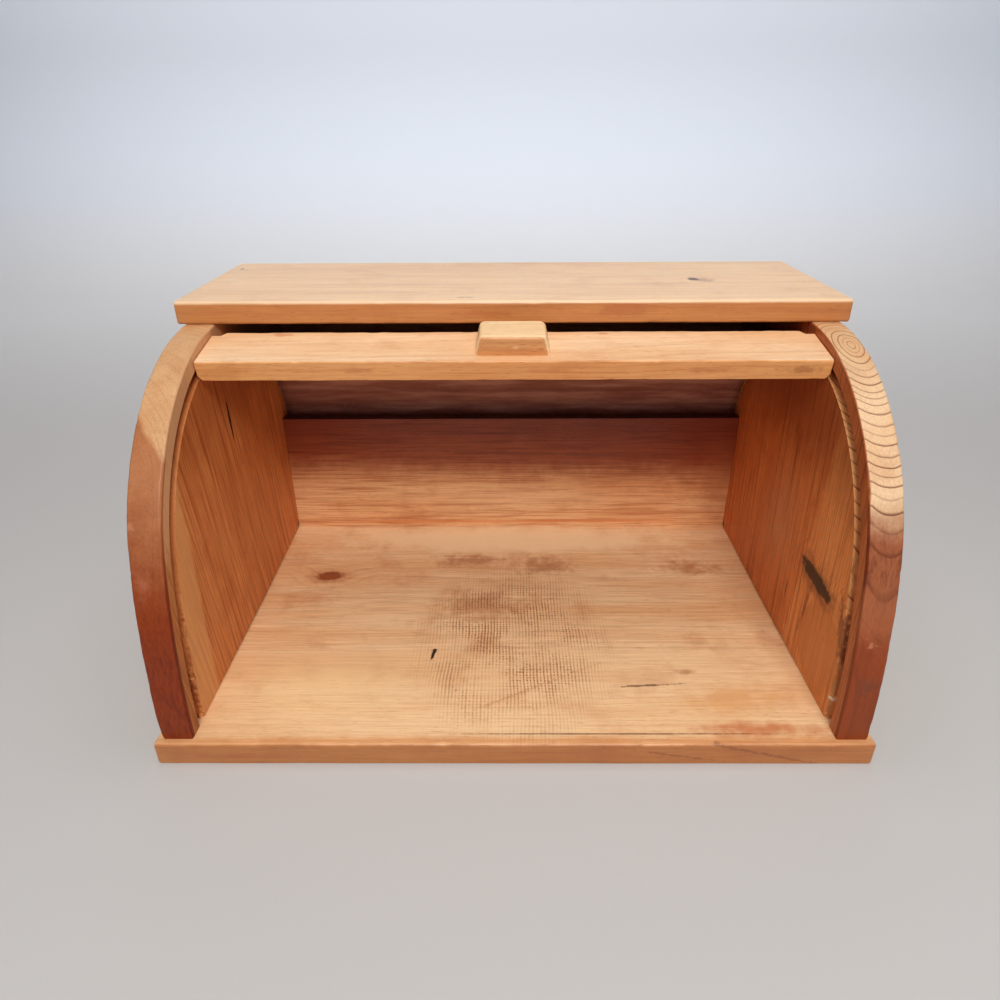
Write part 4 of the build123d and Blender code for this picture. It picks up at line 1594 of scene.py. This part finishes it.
@dataclass
class LeadSlat:
    """Thick first slat of the curtain, with clipped corners, and its handle block."""

    half_width: float = 192.0
    corner_cut: float = 6.0
    corner_slope: float = 4.2
    corner_depth: float = 5.0
    tip_cut: float = 3.0
    tip_height: float = 3.5
    tip_depth: float = 9.0
    handle_half: float = 23.0
    handle_top_half: float = 20.0
    handle_setback: float = 7.2
    handle_depth: float = 24.0
    handle_height: float = 12.0
    handle_arris: float = 2.0
    handle_corner: float = 3.4

    def finish(self) -> PineFinish:
        """Pale pine whose front face is a little browner as painted shade, with short dark
        streaks.
        """
        face = self.front_face(0.8)
        middle = self.front_face(0.0, SIZES.lead_thickness / 2)
        rear = self.front_face(SIZES.lead_pitch - 4.0, SIZES.lead_thickness)
        return PineFinish(
            "lead_wood", pith=(0, -20, 260), log_turn=(-0.8, 90, 0.7), ring=3.2, late=0.18,
            wander=7, pale=(248, 209, 167), amber=(231, 174, 120), amber_share=0.34, fibre=0.12,
            lines=0.1, streaks=0.16, blotch=0.22, blotch_tone=(200, 128, 80), seed=53,
            zones=(
                # painted shade: the front face is darker than the lit top
                Zone(face, self.forward, 0.5, (238, 204, 160), 1, 0.1),
            ),
            marks=(
                Mark((-96, middle[1], middle[2]), (14, 5, 3), (184, 104, 56), 0.55, 1, 0.35, 6),
                Mark((22, middle[1], middle[2]), (24, 5, 2.4), (192, 112, 60), 0.5, 1, 0.35, 7),
                Mark((174, middle[1], middle[2]), (16, 5, 3.6), (150, 84, 46), 0.55, 0.9, 0.45, 5),
                Mark((118, middle[1], middle[2]), (30, 5, 2.6), (180, 100, 54), 0.5, 1, 0.35, 7),
                Mark((-148, rear[1], rear[2]), (8, 3, 4), (196, 120, 74), 0.55, 0.5, 0.5, 5),
                Mark((58, rear[1], rear[2]), (5, 2, 4), (190, 116, 72), 0.5, 0.5, 0.5, 4),
            ),
        )

    def handle_finish(self) -> PineFinish:
        """Palest pine of the box, rubbed by fingers."""
        front = self.front_face(self.handle_setback + 1.0)
        height = SIZES.lead_thickness + 0.45 * self.handle_height
        scuff = self.front_face(self.handle_setback, height)
        return PineFinish(
            "handle_wood", pith=(0, -90, 120), log_turn=(0.6, 90, 1.5), ring=3.4, late=0.22,
            wander=3, pale=(255, 226, 178), amber=(236, 180, 122), amber_share=0.2, fibre=0.12,
            lines=0.1, streaks=0.1, seed=59,
            zones=(
                # painted shade: the handle's front face is darker than its lit top
                Zone(front, self.forward, 0.5, (220, 176, 140), 1, 0.1),
            ),
            marks=(
                Mark((2, scuff[1], scuff[2]), (3.4, 3, 1.5), (238, 190, 142), 0.6, 0.8, 0.3, 2.5),
            ),
        )

    @property
    def forward(self) -> Triple:
        """Direction that the lead slat's front face looks."""
        along = SectionFrame.on_chord(0).along
        return (0.0, -along[0], -along[1])

    def front_face(self, into: float, outward: float = 0.0) -> Triple:
        """Place in the box behind the lead slat's front face.

        Args:
            into: distance behind the face.
            outward: distance outward from the slat's inner face.

        Returns:
            Place in the box's millimetres.
        """
        y, z = SectionFrame.on_chord(0).place(np.array(into), np.array(outward))
        return (0.0, back(float(y)), float(z))

    def lofted(self, name: str, points: np.ndarray) -> Piece:
        """Closed piece between rings given in the lead slat's own frame.

        Args:
            name: name of the piece.
            points: array (rings, corners, 3) of distances along X, the travel and outward.

        Returns:
            The piece.
        """
        y, z = SectionFrame.on_chord(0).place(points[..., 1], points[..., 2])
        return loft(name, np.stack([points[..., 0], y, z], -1))

    def rear_clip(self, sign: int) -> Piece:
        """Tool for the outer rear corner, which is cut down to a slat's thickness."""
        rear = SIZES.lead_pitch - SIZES.slat_gap / 2
        start, end = rear - self.corner_depth, rear + 1
        flat, beyond = self.half_width - self.corner_cut, self.half_width + 1
        corners = ((beyond, start), (flat, start), (flat - self.corner_slope, end), (beyond, end))
        levels = (SIZES.slat_thickness, SIZES.lead_thickness + 1)
        points = [[(sign * x, first, level) for x, first in corners] for level in levels]
        return self.lofted("rear_clip_tool", np.array(points))

    def front_clip(self, sign: int) -> Piece:
        """Tool for the slope at the inner front corner."""
        slope = self.tip_cut / self.tip_height
        corners = (
            (self.half_width - self.tip_cut - slope, -1.0),
            (self.half_width + slope, self.tip_height + 1.0),
            (self.half_width + 2.0, -1.0),
        )
        ends = (-1.0, self.tip_depth)
        points = [[(sign * x, first, level) for x, level in corners] for first in ends]
        return self.lofted("front_clip_tool", np.array(points))

    def handle(self) -> Piece:
        """The handle block, as rings stacked outward from the slat.

        Each ring is a rounded rectangle. Its half width goes down evenly from
        foot to top; over the last arris it draws in by a(1 - cos t) while the
        height grows by a sin t, and worn corners draw in a little more.

        Returns:
            The block.
        """
        turns = np.linspace(0.0, QUARTER, 8)
        shoulder = self.handle_height - self.handle_arris
        straight = np.linspace(0.0, shoulder, 7)[:-1]
        heights = np.concatenate([straight, shoulder + self.handle_arris * np.sin(turns)])
        draw_in = self.handle_arris * (1 - np.cos(turns))
        draw_in = np.concatenate([np.zeros(len(straight)), draw_in])
        share = heights / self.handle_height
        half_x = self.handle_half + (self.handle_top_half - self.handle_half) * share
        middle = self.handle_setback + self.handle_depth / 2
        rings = []
        for height, inset, half in zip(heights, draw_in, half_x):
            around = []
            for number, signs in enumerate(((1, 1), (-1, 1), (-1, -1), (1, -1))):
                radius = self.handle_corner * (1.0 + 0.2 * math.sin(2.3 * number + 1.0))
                angles = math.atan2(signs[1], signs[0]) - np.pi / 4 + np.linspace(0, QUARTER, 6)
                x = signs[0] * (half - radius) + (radius - inset) * np.cos(angles)
                d = signs[1] * (self.handle_depth / 2 - radius) + (radius - inset) * np.sin(angles)
                outward = np.full(len(x), SIZES.lead_thickness + height)
                around.append(np.column_stack([x, middle + d, outward]))
            rings.append(np.vstack(around))
        return self.lofted("pine_handle_block", np.array(rings))

    def build(self) -> None:
        """Make and dress the lead slat and its handle."""
        slat = WornBar(
            "pine_lead_slat", SectionFrame.on_chord(0),
            (0.0, SIZES.lead_pitch - SIZES.slat_gap / 2), (0.0, SIZES.lead_thickness),
            self.half_width, (0.5, 0.4, 1.0, 1.1), wear=0.4, knocks=12, seed=13,
        ).build()
        cut(slat, *[clip(sign) for sign in (-1, 1) for clip in (self.rear_clip, self.front_clip)])
        soften(slat)
        mount(slat, self.finish().build(), Body.LEAD, "lead_slat")
        handle = self.handle()
        soften(handle)
        mount(handle, self.handle_finish().build(), Body.LEAD, "handle_block")


@dataclass(frozen=True)
class Band:
    """One band of the canvas: the slats that carry it, and the hinge line that it bends over."""

    piece: str
    node: str
    first: int
    last: int
    bodies: tuple[Body, ...]
    bend_line: int = 0


BANDS = (
    Band("canvas_at_lead", "canvas_lead", 1, 2, (Body.LEAD, Body.LOWER), 1),
    Band("canvas_at_lower_slats", "canvas_lower", 2, 4, (Body.LOWER, Body.MIDDLE), 3),
    Band("canvas_at_middle_slats", "canvas_middle", 4, 6, (Body.MIDDLE, Body.ROLL_TOP), 5),
    Band("canvas_at_upper_slats", "canvas_upper", 6, 15, (Body.ROLL_TOP,)),
)


@dataclass
class Curtain:
    """Thin slats and the canvas that joins them."""

    slat_count: int = 14
    lower_count: int = 4
    woods: int = 4
    end_gap: float = 0.5
    tongue_gap: float = 0.75
    canvas_edge: float = 0.9
    canvas_thickness: float = 0.5
    canvas_inset: float = 0.42
    canvas_sink: float = 0.16
    lead_inset: float = 0.45
    lead_share: float = 0.6
    points: int = 13
    columns: int = 48
    bend_reach: float = 1.5

    def body_of(self, number: int) -> Body:
        """Body that a slat rides on."""
        if number <= self.lower_count // 2:
            return Body.LOWER
        return Body.MIDDLE if number <= self.lower_count else Body.ROLL_TOP

    def slat_finish(self, tone: int) -> PineFinish:
        """One of a few like pines, so that neighbouring slats differ a little; all are darker than
        the boards as painted shade, for slats that lie in shadow.
        """
        return PineFinish(
            f"slat_wood_{tone}", pith=(12 * tone, 30 + 25 * tone, 60 - 20 * tone),
            # painted shade: darker pale and amber tones than the boards
            log_turn=(0, 90, 0.6 * tone - 0.9), ring=3, late=0.45, wander=5, pale=(214, 156, 104),
            amber=(190, 122, 74), amber_share=0.4 + 0.1 * tone, streaks=0.3, seed=61 + 3 * tone,
        )

    def slats(self) -> None:
        """Make and dress every slat, each a bar on its own chord."""
        woods = [self.slat_finish(tone).build() for tone in range(self.woods)]
        for number in range(1, self.slat_count + 1):
            reach = SIZES.side_inner - self.end_gap
            if number > self.lower_count:
                reach = SIZES.side_inner + SIZES.groove_depth - self.tongue_gap
            slat = WornBar(
                f"pine_slat_{number:02d}", SectionFrame.on_chord(number),
                (SIZES.slat_gap / 2, SIZES.slat_pitch - SIZES.slat_gap / 2),
                (0.0, SIZES.slat_thickness), reach, (0.3, 0.3, 1.2, 1.2), end_arris=0.4,
                wear=0.25, knocks=4, seed=70 + number, step=8.0,
            ).build()
            soften(slat)
            wood = woods[number * 5 % self.woods]
            mount(slat, wood, self.body_of(number), f"slat_{number:02d}")

    def canvas_path(self, first: int, last: int) -> np.ndarray:
        """Line of the canvas on the slats' inner faces, from one hinge line to another.

        Each chord is divided evenly. The cloth's middle lies a little inside the
        chord, and sinks further midway, where it isn't glued hard.
        The first band also covers a share of the lead slat.

        Args:
            first: hinge line that it starts from.
            last: hinge line that it ends at.

        Returns:
            Points (y, z).
        """
        share = np.linspace(0.0, 1.0, self.points)
        sink = -self.canvas_inset - self.canvas_sink * np.sin(np.pi * share) ** 2
        runs = []
        if first == 1:
            start = SIZES.lead_pitch * (1 - self.lead_share)
            along = np.linspace(start, SIZES.lead_pitch, self.points)
            level = np.full(self.points, -self.lead_inset)
            runs.append(np.stack(SectionFrame.on_chord(0).place(along, level), -1)[:-1])
        for index in range(first, last):
            run = SectionFrame.on_chord(index).place(share * SIZES.slat_pitch, sink)
            runs.append(np.stack(run, -1)[:-1])
        end = SectionFrame.on_chord(last).place(np.zeros(1), np.full(1, -self.canvas_inset))
        return np.vstack([*runs, np.stack(end, -1)])

    def strip(self, name: str, path: np.ndarray) -> tuple[Piece, Pair]:
        """Sheet of canvas: a grid across the box and along a path, thickened.

        Args:
            name: name of the sheet.
            path: its line (y, z).

        Returns:
            The sheet, and its flat width and length in metres.
        """
        half = SIZES.side_inner - self.canvas_edge
        along = lengths(path)
        x, far = np.meshgrid(np.linspace(-half, half, self.columns), along)
        y, z = (np.broadcast_to(path[:, axis, None], x.shape) for axis in (0, 1))
        points = np.stack([x, y, z], -1).reshape(-1, 3)
        rows = np.arange(len(path) - 1)[:, None] * self.columns
        start = (rows + np.arange(self.columns - 1)).ravel()
        after = start + self.columns
        faces = np.stack([start, start + 1, after + 1, after], -1)
        piece = new_piece(name, points, faces.tolist())
        layer = piece.data.uv_layers.new(name="canvas_uv")
        flat = np.stack([x, far], -1).reshape(-1, 2) * MM
        layer.data.foreach_set("uv", flat[faces.ravel()].ravel())
        piece.data.shade_smooth()
        solid = piece.modifiers.new("thickness", "SOLIDIFY")
        solid.thickness = self.canvas_thickness * MM
        solid.offset = 0.0
        return piece, (2 * half * MM, float(along[-1]) * MM)

    def canvas(self) -> None:
        """Make the canvas as four sheets; three of them run across a hinge line and ride on no
        body.
        """
        cloth = CanvasFinish().build()
        for band in BANDS:
            piece, flat = self.strip(band.piece, self.canvas_path(band.first, band.last))
            if band.bend_line:
                dress(piece, cloth)
                self.bend(piece, band)
                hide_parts(band.node)
            else:
                mount(piece, cloth, band.bodies[0], band.node)
            carriers = [f"pine_slat_{number:02d}" for number in range(band.first, band.last)]
            if Body.LEAD in band.bodies:
                carriers.insert(0, "pine_lead_slat")
            log.info("%s: sheet of %.3f by %.3f m", band.piece, *flat)

    def bend(self, piece: Piece, band: Band) -> None:
        """Bake a sheet's transform into its mesh; the hinge line's place and direction are worked
        out but not used.
        """
        place = SIZES.hinge(band.bend_line)
        along = np.array(SectionFrame.on_chord(band.bend_line).along)
        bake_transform(piece)

    def build(self) -> None:
        """Make the slats and the canvas."""
        self.slats()
        self.canvas()


class Fasteners:
    """Screws and nails, which keep their CAD shapes."""

    def build(self) -> None:
        """Dress them in dull steel, and the top nails in the wax that hides their heads."""
        screws = SteelFinish("screw_steel").build()
        nails = SteelFinish("nail_steel", (126, 116, 106), (74, 46, 32)).build()
        dress_node("base_screws", screws)
        dress_node("handle_screws", screws)
        dress_node("panel_nails", nails)
        dress_node("top_nails", WaxFinish().build())


@dataclass
class Studio:
    """Pale paper sweep, soft lights and the camera, which was fitted to the photo's corners.

    The angles are in degrees, the camera's stand and its sensor's width in
    millimetres, the focal length and the picture's width in pixels, and the
    paper's lengths in metres.
    """

    pitch: float = 28.039
    yaw: float = -0.464
    roll: float = -0.330
    stand: Triple = (-4.8, -455.95, 345.6)
    focal: float = 722.0
    picture: float = 1000.0
    sensor: float = 36.0
    bend_radius: float = 0.5
    bend_start: float = 1.2
    paper_reach: float = 10.0
    paper_height: float = 3.2

    def camera(self) -> None:
        """Camera at the photograph's angle."""
        pitch, yaw, roll = map(math.radians, (self.pitch, self.yaw, self.roll))
        level = math.cos(pitch)
        forward = Vector((math.sin(yaw) * level, math.cos(yaw) * level, -math.sin(pitch)))
        right = Vector((math.cos(yaw), -math.sin(yaw), 0.0))
        upward = right.cross(forward)
        turned_right = right * math.cos(roll) + upward * math.sin(roll)
        turned_up = upward * math.cos(roll) - right * math.sin(roll)
        data = bpy.data.cameras.new("photo_camera")
        data.sensor_width = self.sensor
        data.lens = self.focal / self.picture * self.sensor
        data.clip_start = 0.01
        camera = linked("photo_camera", data)
        matrix = Matrix((turned_right, turned_up, -forward)).transposed().to_4x4()
        matrix.translation = [distance * MM for distance in self.stand]
        camera.matrix_world = matrix
        bpy.context.scene.camera = camera

    def light(
        self, name: str, place: Triple, target: Triple, size: Pair, power: float, tint: Triple,
        spread: float = 180.0,
    ) -> None:
        """Soft rectangular light that faces a target.

        Args:
            name: name of the light.
            place: where it hangs, in metres.
            target: what it faces.
            size: its width and height in metres.
            power: its power in watts.
            tint: its colour, 0 to 1.
            spread: angle of its beam in degrees.
        """
        data = bpy.data.lights.new(name, "AREA")
        data.spread = math.radians(spread)
        data.shape = "RECTANGLE"
        data.size, data.size_y = size
        data.energy = power
        data.color = tint
        lamp = linked(name, data)
        direction = Vector(target) - Vector(place)
        lamp.rotation_euler = direction.to_track_quat("-Z", "Y").to_euler()
        lamp.location = place

    def lights(self) -> None:
        """A soft light high in front, one overhead, one on the backdrop, and pale surroundings."""
        for row in (
            ("high_front", (0.12, -1.15, 1.25), (0, 0.05, 0.08), (0.7, 0.45), 19, (1, 0.97, 0.93)),
            ("overhead", (0, 0.1, 1.7), (0, 0, 0.1), (1.4, 1.0), 8, (1, 0.96, 0.91)),
            ("backdrop_wash", (0, 0.75, 1.7), (0, 1.7, 0.3), (3, 0.6), 14, (0.93, 0.96, 1), 100),
        ):
            self.light(*row)
        world = bpy.data.worlds.new("surroundings")
        world.use_nodes = True
        background = world.node_tree.nodes["Background"]
        background.inputs["Color"].default_value = (0.93, 0.95, 1.0, 1.0)
        background.inputs["Strength"].default_value = 0.22
        bpy.context.scene.world = world

    def sweep(self) -> None:
        """Paper that lies under the box and curves up behind it.

        Its section is a line, a quarter circle and a line, carried along X.
        """
        radius, start, reach = self.bend_radius, self.bend_start, self.paper_reach
        turns = np.linspace(0.0, QUARTER, 33)
        y = np.concatenate([[-reach], start + radius * np.sin(turns), [start + radius]])
        z = np.concatenate([[0.0], radius * (1 - np.cos(turns)), [self.paper_height]])
        grid_x, grid_y = np.meshgrid(np.array([-reach, reach]), y)
        grid_z = np.broadcast_to(z[:, None], grid_x.shape)
        points = np.stack([grid_x, grid_y, grid_z], -1).reshape(-1, 3)
        rows = np.arange(len(y) - 1)[:, None] * 2
        faces = np.concatenate([rows, rows + 1, rows + 3, rows + 2], 1)
        mesh = bpy.data.meshes.new("paper_sweep")
        mesh.from_pydata(points.tolist(), [], faces.tolist())
        mesh.shade_smooth()
        paper = linked("paper_sweep", mesh)
        dress(paper, PaperFinish().build())

    def build(self) -> None:
        """Set the whole stage."""
        self.camera()
        self.lights()
        self.sweep()
        bpy.context.scene.view_settings.view_transform = "Standard"
        log.info("studio set")


def main() -> None:
    """Build every class in order."""
    logging.basicConfig(level=logging.INFO, format="%(name)s: %(message)s")
    Studio().build()
    BaseBoard().build()
    for side in Side:
        SideBoard(side).build()
    TopBoard().build()
    BackBoards().build()
    LeadSlat().build()
    Curtain().build()
    Fasteners().build()


if __name__ == "__main__":
    main()
